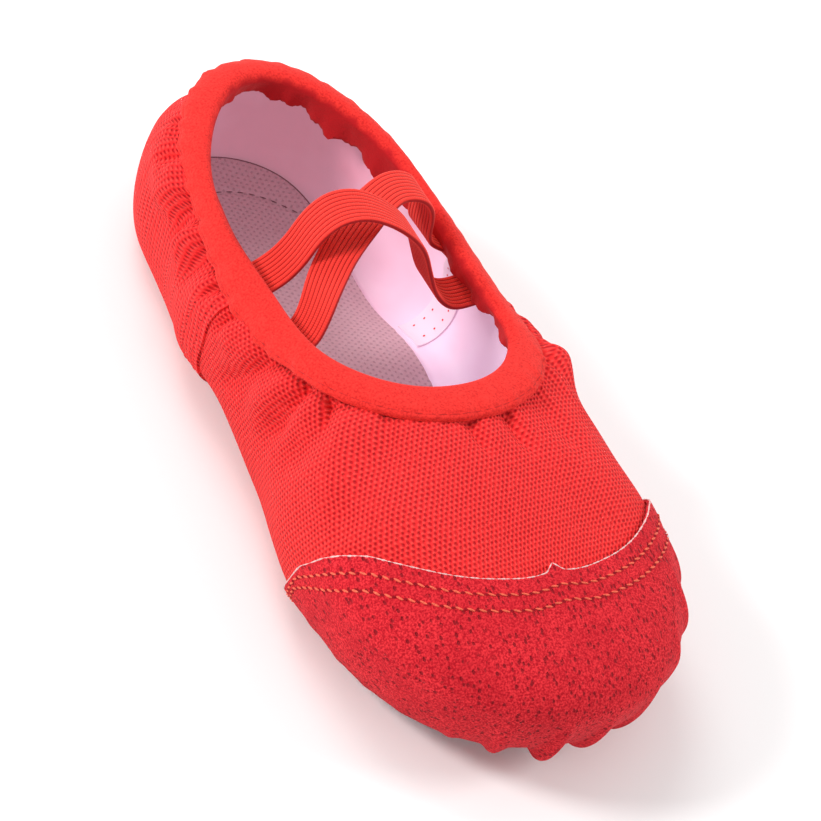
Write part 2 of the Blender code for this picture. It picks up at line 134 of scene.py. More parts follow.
# Toe cap: its reach to each side of the toe, its tuck under the pad, its pleats and its raw edge
CAP_REACH = math.radians(68)
CAP_TUCK = 0.0040
CAP_LIFT_RUN = math.radians(7)
PLEATS = 15
PLEAT_DEPTH = 0.0024
PLEAT_MEAN = 0.20
PLEAT_CROWD = 0.20
PLEAT_HEIGHT = 0.85
PLEAT_PINCH = 7
PLEAT_RUN = 0.0025
NOTCH_REACH = 0.10
TOE_INSIDE = (0.045, 0, 0.010)
RAW_EDGE_RADIUS = 0.00017
RAW_EDGE_UNEVEN = 0.00008

# Side seam: the ring angle that it follows, its lap and its tape inside; and the seam of the sole
SEAM_ANGLE = math.radians(76)
SEAM_LAP = math.radians(6)
SEAM_TAPE_WIDTH = math.radians(5.4)
SEAM_TAPE_TOP = 0.88
SEAM_TAPE_THICKNESS = 0.0005
SEAM_TAPE_DOT_ROWS = (2, 6)
SOLE_SEAM_ROWS = (-0.0016, 0.0016)

# Level of the widest ring, and the step that derivatives are taken over
BULGE_LEVEL = 0.30
DERIVATIVE_STEP = 1e-4

# Sections of the foot from heel to toe: the plan half width, the height of the widest point, how
# far the wall rolls under to the sole below it, and the angle through which it turns over above it
FOOT = table(
    "along half_width height roll turn",
    (0.00, HEEL_WIDTH / 2, 0.0180, 0.0045, math.radians(79)),
    (0.15, HEEL_WIDTH / 2, 0.0175, 0.0055, math.radians(78)),
    (0.34, WAIST_WIDTH / 2 - 0.0002, 0.0168, 0.0082, math.radians(76)),
    (0.49, WAIST_WIDTH / 2, 0.0159, 0.0080, math.radians(75)),
    (0.72, BALL_WIDTH / 2, 0.0179, 0.0070, math.radians(72)),
    (1.00, BALL_WIDTH / 2 - 0.003, 0.0209, 0.0070, math.radians(70)),
)

# Sections of the collar edge from the back of the heel to the throat
COLLAR = table(
    "along half_width height",
    (0.00, 0.0190, HEEL_HEIGHT),
    (0.45, 0.0254, SIDE_HEIGHT + 0.0005),
    (0.60, 0.0254, SIDE_HEIGHT),
    (1.00, 0.0217, INSTEP_HEIGHT),
)

# Top edge of the toe cap from the tip of the toe to the sole at the side, by level on the wall
CAP_EDGE = table(
    "along level",
    (0.00, 0.726),
    (0.04, 0.711),
    (0.25, 0.699),
    (0.50, 0.672),
    (0.70, 0.622),
    (0.80, 0.560),
    (0.88, 0.470),
    (0.94, 0.340),
    (0.97, 0.230),
    (1.00, 0.120),
)

# How far the wall of the toe cap is drawn in to the sole, from its left end to its right
CAP_DRAW_IN = table(
    "along depth",
    (-1.00, 0.0),
    (-0.60, 0.0014),
    (0.00, 0.0016),
    (0.35, 0.0022),
    (0.65, 0.0025),
    (0.85, 0.0018),
    (1.00, 0.0),
)

# Free run of each elastic across the opening, from the right side to the left
STRAP_OVER = table(
    "x y z",
    (-0.0261, -0.0212, 0.0318),
    (-0.0258, -0.0180, 0.0350),
    (-0.0255, -0.0158, 0.0395),
    (-0.0253, -0.0138, 0.0463),
    (-0.0245, -0.0106, 0.0514),
    (-0.0233, -0.0060, 0.0530),
    (-0.0218, -0.0015, 0.0522),
    (-0.0203, 0.0032, 0.0499),
    (-0.0194, 0.0074, 0.0462),
    (-0.0190, 0.0115, 0.0390),
    (-0.0182, 0.0152, 0.0325),
    (-0.0172, 0.0195, 0.0292),
)
STRAP_UNDER = table(
    "x y z",
    (-0.0090, -0.0205, 0.0315),
    (-0.0115, -0.0169, 0.0360),
    (-0.0146, -0.0145, 0.0390),
    (-0.0178, -0.0117, 0.0412),
    (-0.0205, -0.0088, 0.0431),
    (-0.0247, -0.0035, 0.0451),
    (-0.0306, 0.0042, 0.0457),
    (-0.0328, 0.0096, 0.0472),
    (-0.0323, 0.0146, 0.0467),
    (-0.0322, 0.0178, 0.0430),
    (-0.0325, 0.0190, 0.0382),
    (-0.0328, 0.0204, 0.0335),
)

# Where each elastic is sewn in under the binding: ring angles of its right and left end
StrapEnds = namedtuple("StrapEnds", "right left")
STRAP_OVER_ENDS = StrapEnds(right=math.radians(287.5), left=math.radians(79.7))
STRAP_UNDER_ENDS = StrapEnds(right=math.radians(274.5), left=math.radians(67))
STRAP_RIBS = 9
RIB_DEPTH = 0.00022
PICK_PITCH = 0.00048

# Creases of the canvas from the binding down: ends by ring angle in degrees and level, half width
# and depth in metres. A trough has a positive depth and a ridge a negative one. The right side runs
# from 180 to 360 degrees.
CREASES = table(
    "top_angle top_level low_angle low_level width depth",
    (330, 0.88, 326, 0.66, 0.0030, 0.0020),
    (322, 0.86, 316, 0.56, 0.0034, 0.0030),
    (313, 0.70, 309, 0.40, 0.0056, -0.0024),
    (305, 0.82, 303, 0.38, 0.0032, 0.0034),
    (300, 0.70, 300, 0.36, 0.0042, -0.0016),
    (294, 0.82, 296, 0.34, 0.0034, 0.0037),
    (288, 0.80, 288.5, 0.52, 0.0014, 0.0026),
    (278, 0.78, 281, 0.45, 0.0042, -0.0014),
    (282, 0.78, 282.5, 0.47, 0.0013, 0.0022),
    (269, 0.81, 281, 0.17, 0.0015, 0.0014),
    (259, 0.83, 263.5, 0.62, 0.0012, 0.0013),
    (246.5, 0.91, 249.5, 0.77, 0.0012, 0.0011),
    (267, 0.82, 280, 0.22, 0.0040, 0.0015),
    (264, 0.74, 272, 0.34, 0.0040, -0.0018),
    (259, 0.86, 268, 0.34, 0.0032, 0.0030),
    (247, 0.89, 263, 0.36, 0.0042, 0.0024),
    (240, 0.86, 248, 0.48, 0.0050, -0.0008),
    (229, 0.84, 242, 0.52, 0.0050, 0.0008),
    (222, 0.94, 223, 0.86, 0.0022, 0.0006),
    (183, 0.97, 182, 0.90, 0.0014, 0.0014),
    (176, 0.96, 176, 0.90, 0.0026, -0.0005),
    (162, 0.96, 163, 0.88, 0.0016, 0.0012),
    (138, 0.95, 141, 0.80, 0.0034, 0.0010),
    (96, 0.84, 92, 0.50, 0.0070, -0.0010),
    (97, 0.84, 93, 0.36, 0.0042, 0.0024),
    (84, 0.78, 83, 0.42, 0.0046, -0.0016),
    (72, 0.80, 70, 0.34, 0.0034, 0.0021),
    (60, 0.80, 58, 0.40, 0.0034, 0.0019),
    (47, 0.84, 50, 0.44, 0.0040, 0.0018),
    (34, 0.86, 36, 0.60, 0.0032, 0.0016),
    (14, 0.88, 15, 0.64, 0.0036, 0.0014),
    (350, 0.88, 349, 0.66, 0.0036, 0.0010),
)

# What the drawn tape does below the collar, by ring angle in degrees: the height of the fine
# gathers, how far the canvas puffs out under them, and the width of the tape's turn-in inside
DRAW = table(
    "along gather puff turn_in",
    (0, 0.00045, -0.0008, 0.0032),
    (18, 0.00055, 0.0006, 0.0058),
    (35, 0.00060, 0.0014, 0.0072),
    (50, 0.00055, 0.0014, 0.0062),
    (60, 0.00050, 0.0010, 0.0046),
    (75, 0.00045, 0.0010, 0.0030),
    (84, 0.00040, 0.0030, 0.0028),
    (92, 0.00040, 0.0054, 0.0026),
    (99, 0.00035, 0.0056, 0.0026),
    (105, 0.00030, 0.0040, 0.0026),
    (112, 0.00030, 0.0008, 0.0027),
    (130, 0.00030, -0.0004, 0.0028),
    (150, 0.00030, -0.0004, 0.0030),
    (180, 0.00030, 0.0003, 0.0036),
    (225, 0.00028, 0.0004, 0.0034),
    (262, 0.00040, 0.0012, 0.0034),
    (290, 0.00055, 0.0016, 0.0036),
    (318, 0.00065, 0.0018, 0.0040),
    (330, 0.00060, -0.0002, 0.0036),
    (342, 0.00055, -0.0018, 0.0036),
    (350, 0.00050, -0.0021, 0.0034),
    (360, 0.00045, -0.0008, 0.0032),
)

# Gathers and puffed cloth below the binding, and how the canvas lies in under the toe cap
GATHER_PITCH = 0.0056
GATHER_RUN = 0.0065
PUFF_DOWN = 0.0118
PUFF_RUN = 0.0055
PUFF_SWAY = 0.06
UNDER_CAP = 0.0026
CAP_FREE = 0.80

# Sums of sine waves that make small forms uneven: the height of each wave, its radians for each
# unit of the place that it is read at, and its phase. The canvas slack is read at x, y and z.
WAVE = "height pace phase"
GATHER_WAVES = table(WAVE, (0.55, 1.0, 0.0), (0.30, 1.63, 1.1), (0.25, 0.47, 2.0))
FRAY_WAVES = table(WAVE, (0.15, 420, 0.0), (0.08, 1300, 1.0), (0.03, 5100, 0.0))
PLEAT_SWAY = table(WAVE, (0.25, 7.0, 0.0), (0.15, 17.0, 0.0))
PLEAT_UNEVEN = table(WAVE, (0.20, 9.0, 0.8), (0.15, 23.0, 0.0))
EDGE_UNEVEN = table(WAVE, (0.5, 1.7, 0.0), (0.5, 0.61, 0.0))
CANVAS_SLACK = table(WAVE, (0.00025, (210, 0, 150), 0.0), (0.00022, (-120, 260, 0), 0.7))

# Points across the bottom of the canvas, and round the edge of a sole pad
BOTTOM_STEPS = 24
PAD_POINTS = 240

# Weave of the canvas: the rows go round the foot, and the threads cross them
ROW_PITCH = 0.00112
THREAD_PITCH = 0.00052
ROW_LEAN = 0.43
CLOTH_TURN = 0.10
HEEL_CLOTH_TURN = math.radians(10)
HEEL_CLOTH_DRAWN = 0.72

# Rounded edge of the sole pads: inset from the outline and rise as a share of the thickness
PAD_UPPER_RINGS = ((0.0100, 1.0), (0.0008, 1.0), (0.0002, 0.96), (0.0, 0.75))
PAD_LOWER_RINGS = ((0.0, 0.25), (0.00025, 0.07), (0.0006, 0.0), (0.0012, 0.0))
PAD_CLEAR = 0.0002
FOREFOOT_TRIM = 0.0022

# Stitches
STITCH_PITCH = 0.0023
STITCH_LENGTH = 0.0017
STITCH_RADIUS = 0.00022
CAP_STITCH_ROWS = (0.0034, 0.0068)
PAD_STITCH_ROWS = (0.0028, 0.0055)
SEAM_STITCH_ROWS = (math.radians(1.6), math.radians(4.4))
CAP_STITCH = {"length": 0.0015, "radius": 0.00025, "slant": 0.28}
CAP_STITCH_LIFT = 0.00012
BINDING_STITCH = {"pitch": 0.0026, "length": 0.0021, "radius": 0.00016, "lift": -0.00002}
INSOLE_STITCH = {"pitch": 0.0026, "length": 0.0015, "radius": 0.00016}
TAPE_DOT = {"radius": 0.00028, "pitch": 0.0028, "lift": 0.00008}
CAP_HOLE = 0.00034
PAD_HOLE = 0.00042
SEAM_HOLE = 0.00018
SOLE_SEAM_HOLE = 0.00034

# The photograph's camera: where it stands, the point on the shoe it looks at, and its up direction
CAMERA_EYE = Vector((0.3696, -0.3528, 0.4688))
CAMERA_AIM = Vector((0.0048, 0.0030, 0.0200))
CAMERA_UP = Vector((-0.7154, 0.1335, 0.6858))
CAMERA_LENS = 145.0

# Round studio lights, aimed at the middle of the shoe, and the pale surround
LIGHTS = table(
    "name place size power",
    ("key_light", (-0.29, -0.78, 0.60), 0.3, 6.9),
    ("side_light", (0.35, 0.80, 0.55), 0.4, 4.4),
    ("front_light", (0.45, -0.25, 0.95), 0.5, 0.3),
    ("back_light", (-0.60, -0.10, 0.85), 0.5, 3.0),
)
LIGHT_AIM = Vector((0.0, 0.0, 0.02))
SURROUND = 0.58
FLOOR_HALF = 3.0
FLOOR_DROP = 0.0001

# Colours, linear
CANVAS_RED = (0.92, 0.024, 0.026)
# The next two are a painted highlight on the canvas grains and painted shade in its pits
CANVAS_GRAIN_HIGHLIGHT = (1.0, 0.054, 0.048)
CANVAS_PIT_SHADE = (0.46, 0.000, 0.006)
SUEDE_RED = (0.42, 0.002, 0.011)
# Painted shade in the suede's pores and in the toe cap's needle holes
SUEDE_HOLE_SHADE = (0.29, 0.002, 0.009)
SUEDE_LIGHT = (0.84, 0.032, 0.042)
TAPE_RED = (0.83, 0.031, 0.024)
TAPE_DEEP = (0.58, 0.012, 0.011)
TAPE_THREAD = (0.62, 0.012, 0.012)
# Painted shade of the binding's turn-in inside the collar
TURN_IN_SHADE = (0.50, 0.008, 0.012)
ELASTIC_RED = (0.88, 0.038, 0.026)
# Painted shade between the elastic's cords
ELASTIC_GROOVE_SHADE = (0.36, 0.004, 0.006)
LINING_FRONT = (0.95, 0.79, 0.96)
# Painted shade of the lining toward the heel
LINING_HEEL_SHADE = (0.72, 0.22, 0.30)
INSOLE_PINK = (0.62, 0.41, 0.46)
# Random mottle of the insole, and painted shade in its dimples
INSOLE_MOTTLE_AND_DIMPLE_SHADE = (0.47, 0.30, 0.34)
# Insole stitch thread, also used for the painted shade line along the insole's heel edge
INSOLE_THREAD_AND_SHADE = (0.28, 0.15, 0.17)
PAD_GREY = (0.62, 0.68, 0.73)
PAD_LIGHT = (0.78, 0.83, 0.87)
PAD_DARK = (0.45, 0.50, 0.55)
RAW_WHITE = (0.90, 0.56, 0.54)
SEAM_TAPE_WHITE = (0.92, 0.77, 0.88)
THREAD_ORANGE = (0.98, 0.150, 0.080)
# Painted shade inside needle holes
HOLE_SHADE = (0.060, 0.006, 0.008)
FLOOR_WHITE = (0.92, 0.92, 0.92)


def smoothstep(start, end, x):
    """0 before start, 1 after end, and an even curve between them."""
    share = np.clip((np.asarray(x, float) - start) / (end - start), 0.0, 1.0)
    return share * share * (3 - 2 * share)


def unit(vectors):
    return vectors / np.linalg.norm(vectors, axis=-1, keepdims=True)


def bell(distance, width):
    """1 at no distance, and falling away over a width to either side."""
    return np.exp(-((distance / width) ** 2))


def waves(rows, place):
    """The sum of a table of sine waves, read at a place along a line."""
    return sum(row.height * np.sin(row.pace * place + row.phase) for row in rows)


def hermite(t, step, start, start_slope, end, end_slope):
    """A smooth curve from start to end over a step, with a given slope at each."""
    return (
        (1 + 2 * t) * (1 - t) ** 2 * start
        + t * (1 - t) ** 2 * step * start_slope
        + t * t * (3 - 2 * t) * end
        + t * t * (t - 1) * step * end_slope
    )


def through(rows, column, along):
    """A smooth curve without overshoot through one column of a table of sections."""
    x = np.array([row.along for row in rows], float)
    y = np.array([getattr(row, column) for row in rows])
    step = np.diff(x)
    slope = np.diff(y) / step
    tangent = np.empty_like(y)
    tangent[0], tangent[-1] = slope[0], slope[-1]
    product = slope[:-1] * slope[1:]
    total = np.where(slope[:-1] + slope[1:] == 0, 1.0, slope[:-1] + slope[1:])
    tangent[1:-1] = np.where(product > 0, 2 * product / total, 0.0)
    at = np.clip(np.asarray(along, float), x[0], x[-1])
    row = np.clip(np.searchsorted(x, at) - 1, 0, len(x) - 2)
    t = (at - x[row]) / step[row]
    return hermite(t, step[row], y[row], tangent[row], y[row + 1], tangent[row + 1])


def ring(angle, rows, back, front, back_round, front_round):
    """A closed ring with rounded ends: angle 0 is its back, pi its front, and +Y comes first."""
    along = (1 - np.cos(angle)) / 2
    x = back + (front - back) * along
    rear = np.clip((back + back_round - x) / back_round, 0, 1)
    fore = np.clip((x - front + front_round) / front_round, 0, 1)
    ends = ((1 - rear**ROUNDNESS) * (1 - fore**ROUNDNESS)) ** (1 / ROUNDNESS)
    y = np.sign(np.sin(angle)) * through(rows, "half_width", along) * ends
    return np.stack([x, y, through(rows, "height", along)], axis=-1)


def widest_ring(angle):
    return ring(angle, FOOT, HEEL_X, TOE_X, HEEL_ROUND, TOE_ROUND)


def collar_ring(angle):
    leaned = angle + COLLAR_LEAN * np.sin(angle)
    return ring(leaned, COLLAR, COLLAR_BACK_X, THROAT_X, COLLAR_BACK_ROUND, COLLAR_FRONT_ROUND)


def plan_normal(angle):
    """Outward direction of the widest ring in plan."""
    along = widest_ring(angle + DERIVATIVE_STEP) - widest_ring(angle - DERIVATIVE_STEP)
    normal = np.stack([-along[..., 1], along[..., 0], np.zeros_like(along[..., 0])], axis=-1)
    return unit(normal)


def toe_spring(x):
    return 2 * TOE_SPRING * smoothstep(SPRING_START_X, SPRING_END_X, x)


def bottom_height(x):
    """Height of the upper's underside: on the pads, up over the arch and sprung at the toe."""
    arch = np.clip((x - ARCH_BACK_X) / (ARCH_FRONT_X - ARCH_BACK_X), 0, 1)
    lift_end = TOE_X * math.cos(CAP_REACH + CAP_LIFT_RUN / 2)
    lift_start = TOE_X * math.cos(CAP_REACH + 1.5 * CAP_LIFT_RUN)
    over_cap = CAP_STACK * smoothstep(lift_start, lift_end, x)
    return PAD_THICKNESS + GAP + ARCH_RISE * np.sin(math.pi * arch) ** 2 + over_cap + toe_spring(x)


def wall(angle, level):
    """The upper's outer surface: level 0 is the feather edge at the sole, 1 the collar edge."""
    angle, level = np.broadcast_arrays(np.asarray(angle, float), np.asarray(level, float))
    wide = widest_ring(angle)
    normal = plan_normal(angle)
    along = (1 - np.cos(angle)) / 2
    roll = through(FOOT, "roll", along)
    feather = wide - normal * roll[..., None]
    height = wide[..., 2] - bottom_height(feather[..., 0])
    quarter = (1 - level / BULGE_LEVEL) * math.pi / 2
    under = wide - normal * (roll * (1 - np.cos(quarter)))[..., None]
    under[..., 2] = wide[..., 2] - height * np.sin(quarter)
    edge = collar_ring(angle)
    full_turn = through(FOOT, "turn", along)
    turn = (level - BULGE_LEVEL) / (1 - BULGE_LEVEL) * full_turn
    inward = ((1 - np.cos(turn)) / (1 - np.cos(full_turn)))[..., None]
    upward = np.sin(turn) / np.sin(full_turn)
    over = wide + (edge - wide) * inward
    over[..., 2] = wide[..., 2] + (edge[..., 2] - wide[..., 2]) * upward
    return np.where((level < BULGE_LEVEL)[..., None], under, over)


def wall_normal(angle, level):
    angle, level = np.broadcast_arrays(np.asarray(angle, float), np.asarray(level, float))
    around = wall(angle + DERIVATIVE_STEP, level) - wall(angle - DERIVATIVE_STEP, level)
    up = wall(angle, level + DERIVATIVE_STEP) - wall(angle, level - DERIVATIVE_STEP)
    return unit(np.cross(up, around))


def skin(angle, level, offset=0.0):
    """A point of the upper's outer surface, moved out along its normal."""
    return wall(angle, level) + wall_normal(angle, level) * np.asarray(offset, float)[..., None]


def run_lengths(points, axis):
    """Distance run along one axis of a grid of points."""
    step = np.linalg.norm(np.diff(points, axis=axis), axis=-1)
    return np.insert(np.cumsum(step, axis=axis), 0, 0.0, axis=axis)


def edge_levels(angles, distances):
    """Levels at given distances down the wall from the collar edge, a row for each ring angle."""
    levels = np.linspace(1.0, BULGE_LEVEL / 2, 80)
    runs = run_lengths(wall(*np.meshgrid(angles, levels, indexing="ij")), 1)
    distances = np.broadcast_to(distances, (len(angles), np.shape(distances)[-1]))
    return np.array([np.interp(down, run, levels) for down, run in zip(distances, runs)])


def level_below_edge(angle, distance):
    """The level that lies a distance down the wall from the collar edge, at one ring angle."""
    return edge_levels(np.array([angle]), np.array([distance]))[0, 0]


def teardrop(pad, inset=0.0, count=36):
    """Outline of a sole pad in plan, softly pointed on its tip side, drawn in by an inset."""
    turn = np.linspace(0, 2 * math.pi, count, endpoint=False)
    swell = np.abs(np.sin(turn / 2)) ** TEARDROP_TAPER
    widest = np.max(np.sin(turn) * swell)
    x = pad.middle + pad.tip * np.cos(turn) * (pad.length / 2 - inset)
    y = np.sin(turn) * swell / widest * (pad.width / 2 - inset)
    return np.stack([x, y], axis=-1)


def pad_reach(pad, direction):
    """Distance from a pad's middle to its outline along plan directions."""
    outline = teardrop(pad, count=400) - [pad.middle, 0.0]
    heading = np.arctan2(outline[:, 1], outline[:, 0])
    order = np.argsort(heading)
    reach = np.linalg.norm(outline, axis=1)
    return np.interp(direction, heading[order], reach[order], period=2 * math.pi)


def folded(angle):
    """A ring angle folded onto the left side, from 0 at the heel to pi at the toe."""
    turned = np.mod(angle, 2 * math.pi)
    return np.where(turned > math.pi, 2 * math.pi - turned, turned)


def collar_run(angle):
    """Distance along the collar edge from the back of the heel."""
    table = np.linspace(0, 2 * math.pi, 721)
    return np.interp(np.mod(angle, 2 * math.pi), table, run_lengths(collar_ring(table), 0))


def cap_share(angle):
    """A ring angle as a share of the cap's reach: 0 at the tip of the toe, 1 at the cap's ends."""
    return (math.pi - folded(angle)) / CAP_REACH


def cap_top(angle):
    """Level of the toe cap's top edge at a ring angle, or 0 beside the cap."""
    share = cap_share(angle)
    return np.where(share <= 1, through(CAP_EDGE, "level", np.minimum(share, 1)), 0.0)


def gather_wave(angle):
    """Uneven gathers along the collar, from -1 to 1."""
    phase = 2 * math.pi * collar_run(angle) / GATHER_PITCH
    return waves(GATHER_WAVES, phase)


def drawn(column, angle):
    """One column of what the drawn tape does, at ring angles."""
    return through(DRAW, column, np.degrees(np.mod(angle, 2 * math.pi)))


def crease_relief(points):
    """The sum of the listed troughs and ridges at points of the wall."""
    relief = np.zeros(points.shape[:-1])
    share = np.linspace(0, 1, 25)
    for crease in CREASES:
        line_angle = np.radians(crease.top_angle + (crease.low_angle - crease.top_angle) * share)
        line = wall(line_angle, crease.top_level + (crease.low_level - crease.top_level) * share)
        reach = run_lengths(line, 0)[-1] / 2 + 3 * crease.width
        near = np.linalg.norm(points - line[len(line) // 2], axis=-1) < reach
        gap = np.linalg.norm(points[near][:, None, :] - line, axis=-1)
        fade = 1 - smoothstep(0.5, 1.0, share[np.argmin(gap, axis=1)])
        relief[near] -= crease.depth * fade * bell(gap.min(axis=1), crease.width)
    return relief


def canvas_relief(angle, level, down):
    """How far the canvas stands out of its plain surface; down is the run from the collar edge."""
    points = wall(angle, level)
    relief = sum(row.height * np.sin(points @ row.pace + row.phase) for row in CANVAS_SLACK)
    wave = gather_wave(angle)
    below = np.maximum(down - BINDING_OUTSIDE, 0)
    relief += drawn("gather", angle) * wave * np.exp(-below / GATHER_RUN)
    clear = smoothstep(0.95 * BINDING_OUTSIDE, 1.3 * BINDING_OUTSIDE, down)
    puffed = bell(down - PUFF_DOWN, PUFF_RUN) * clear
    relief += drawn("puff", angle) * (1 - PUFF_SWAY + PUFF_SWAY * wave) * puffed
    relief += crease_relief(points)
    free = smoothstep(0.55 * BINDING_OUTSIDE, 1.05 * BINDING_OUTSIDE, down)
    free = free * smoothstep(0.02, 0.2, level)
    top = cap_top(angle)
    over_cap = np.where(top > 0, smoothstep(top, top + 0.07, level), 1.0)
    under_cap = np.where(top > 0, 1 - smoothstep(top - 0.14, top - 0.04, level), 0.0)
    under_cap *= 1 - smoothstep(CAP_FREE, 1.0, cap_share(angle))
    return relief * free * over_cap - UNDER_CAP * under_cap


def add_mesh(name, points, faces, material, weave=None, sharp=50):
    """A smooth mesh that rides with the shoe; weave holds the cloth coordinates of each point."""
    mesh = bpy.data.meshes.new(name)
    mesh.from_pydata(np.asarray(points).reshape(-1, 3).tolist(), [], faces)
    if weave is not None:
        layer = mesh.uv_layers.new(name="weave")
        corner = np.empty(len(mesh.loops), np.int32)
        mesh.loops.foreach_get("vertex_index", corner)
        layer.data.foreach_set("uv", np.asarray(weave, np.float32).reshape(-1, 2)[corner].ravel())
    body = bmesh.new()
    body.from_mesh(mesh)
    bmesh.ops.remove_doubles(body, verts=body.verts, dist=1e-7)
    bmesh.ops.recalc_face_normals(body, faces=body.faces)
    body.to_mesh(mesh)
    body.free()
    mesh.shade_smooth()
    mesh.set_sharp_from_angle(angle=math.radians(sharp))
    mesh.materials.append(material)
    piece = bpy.data.objects.new(name, mesh)
    bpy.context.scene.collection.objects.link(piece)
    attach(piece, "root")
    return piece


def grid_faces(rows, columns, close_rows=False, close_columns=False):
    """Quads of a grid of points, joined round in either direction if asked."""
    r = np.arange(rows if close_rows else rows - 1)[:, None]
    c = np.arange(columns if close_columns else columns - 1)[None, :]
    after, beside = (r + 1) % rows, (c + 1) % columns
    corners = [r * columns + c, r * columns + beside, after * columns + beside, after * columns + c]
    return np.stack(corners, axis=-1).reshape(-1, 4).tolist()


def thick_grid(outer, inner):
    """Points and faces of a closed sheet between two grids."""
    rows, columns = outer.shape[:2]
    rim = np.concatenate([
        np.arange(columns),
        np.arange(1, rows) * columns + columns - 1,
        (rows - 1) * columns + np.arange(columns - 2, -1, -1),
        np.arange(rows - 2, 0, -1) * columns,
    ])
    below = rows * columns
    plain = grid_faces(rows, columns)
    faces = plain + [[below + i for i in reversed(quad)] for quad in plain]
    for here, there in zip(rim, np.roll(rim, -1)):
        faces.append([int(there), int(here), int(below + here), int(below + there)])
    return np.concatenate([outer.reshape(-1, 3), inner.reshape(-1, 3)]), faces


def side_sign(grid):
    """1 for the columns of a foot grid's left half, and -1 for those of its right half."""
    return np.where(np.arange(grid.shape[1]) < grid.shape[1] // 2, 1.0, -1.0)


def girth(grid):
    """Distance round the foot from its top line, on a section of mean width and height."""
    half_width, half_height, middle = BALL_WIDTH / 2, 0.021, 0.017
    turn = np.linspace(0, math.pi, 200)
    section = np.stack([half_width * np.sin(turn), half_height * np.cos(turn), 0 * turn], axis=-1)
    at = np.arctan2(np.abs(grid[..., 1]) / half_width, (grid[..., 2] - middle) / half_height)
    return side_sign(grid) * np.interp(at, turn, run_lengths(section, 0))


def foot_grid(angles, levels, relief, rise, bottom_steps):
    """Grid over a row of ring angles: down the left wall, across the bottom, up the right wall."""
    walls = []
    for side in (angles, 2 * math.pi - angles):
        angle, level = np.meshgrid(side, levels, indexing="ij")
        down = run_lengths(wall(angle, level), 1)
        walls.append(skin(angle, level, relief(angle, level, down)))
    left, right = walls
    half = np.linspace(0, 0.5, bottom_steps // 2 + 1)[1:]
    share = np.concatenate([half, 1 - half[::-1]])[:, None]
    bottom = left[:, None, -1] * (1 - share) + right[:, None, -1] * share
    bottom[..., 2] = bottom_height(bottom[..., 0]) + rise(bottom[..., 0])
    return np.concatenate([left, bottom, right[:, ::-1]], axis=1)


def canvas_levels():
    """Levels from the collar edge to the feather edge, closest together under the binding."""
    return 1 - np.linspace(0, 1, 96) ** 1.15


def over_cap_rise(x):
    """How far the bottom of the canvas lifts clear of the pleats tucked under it."""
    behind, inside = widest_ring(math.pi - CAP_REACH * np.array([1.0, CAP_FREE]))[:, 0]
    return UNDER_CAP * smoothstep(behind, inside, x)


def make_vamp(material):
    """The front of the canvas upper, from under the side seam's lap to the toe."""
    angles = np.linspace(SEAM_ANGLE - SEAM_LAP, math.pi, 260)
    grid = foot_grid(angles, canvas_levels(), canvas_relief, over_cap_rise, BOTTOM_STEPS)
    across, along = girth(grid), grid[..., 0]
    rows = along + CLOTH_TURN * across - ROW_LEAN * grid[..., 2]
    weave = np.stack([across + CLOTH_TURN * along, rows], axis=-1)
    piece = add_mesh("canvas_vamp", grid, grid_faces(*grid.shape[:2]), material, weave)
    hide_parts("upper")


def lap_relief(angle, level, down):
    """The heel quarter's relief: a step over the front at the seam, except under the binding."""
    behind = SEAM_ANGLE - folded(angle)
    step = SEAM_STEP * (1 - smoothstep(SEAM_LAP, 2 * SEAM_LAP, behind))
    outside = smoothstep(0.7 * BINDING_OUTSIDE, BINDING_OUTSIDE, down)
    return canvas_relief(angle, level, down) + step * outside


def turned_relief(angle, level, down):
    """The turned edge of the heel quarter lies just inside the canvas."""
    return canvas_relief(angle, level, down) - GAP


def turned_rise(x):
    return np.full_like(x, GAP)


def make_quarter(material):
    """The heel of the canvas upper, lapped over the front with a turned edge."""
    angles = np.linspace(0, SEAM_ANGLE, 170)
    levels = canvas_levels()
    grid = foot_grid(angles, levels, lap_relief, np.zeros_like, BOTTOM_STEPS)
    step = SEAM_STEP * smoothstep(0.7 * SEAM_ANGLE, SEAM_ANGLE, angles)
    grid[:, len(levels) : -len(levels), 2] -= step[:, None]
    turned = foot_grid(angles[-1:], levels, turned_relief, turned_rise, BOTTOM_STEPS)
    grid = np.concatenate([grid, turned])
    run = run_lengths(wall(angles, BULGE_LEVEL), 0)
    around = side_sign(grid) * np.append(run, run[-1])[:, None]
    down = run_lengths(grid, 1)
    rise = -np.minimum(down, down[:, -1:] - down)
    turn, lean = math.cos(HEEL_CLOTH_TURN), math.sin(HEEL_CLOTH_TURN)
    along = HEEL_CLOTH_DRAWN * (lean * rise - turn * around)
    weave = np.stack([turn * rise + lean * around, along], axis=-1)
    piece = add_mesh("canvas_heel_quarter", grid, grid_faces(*grid.shape[:2]), material, weave)
    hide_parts("upper")


def lining_relief(angle, level, down):
    """The lining follows the canvas loosely, and stays inside its deepest folds."""
    relief = canvas_relief(angle, level, down)
    return np.minimum(0.45 * relief, relief + 0.0007) - UPPER_WALL


def lining_rise(x):
    return UPPER_WALL + over_cap_rise(x)


def make_lining(material):
    """The cloth lining inside the upper."""
    angles, levels = np.linspace(0, math.pi, 200), 1 - np.linspace(0, 1, 60)
    grid = foot_grid(angles, levels, lining_relief, lining_rise, BOTTOM_STEPS // 2)
    piece = add_mesh("lining", grid, grid_faces(*grid.shape[:2]), material)
    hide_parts("upper")


def pleat(share):
    """Uneven pinched folds and wide hollows along the toe cap's reach, about their mean."""
    phase = share * (1 - PLEAT_CROWD) + PLEAT_CROWD * share**3
    turn = (phase + 1) / 2 * PLEATS * math.pi + waves(PLEAT_SWAY, share)
    height = PLEAT_HEIGHT + waves(PLEAT_UNEVEN, share)
    return height * (np.abs(np.cos(turn)) ** PLEAT_PINCH - PLEAT_MEAN)


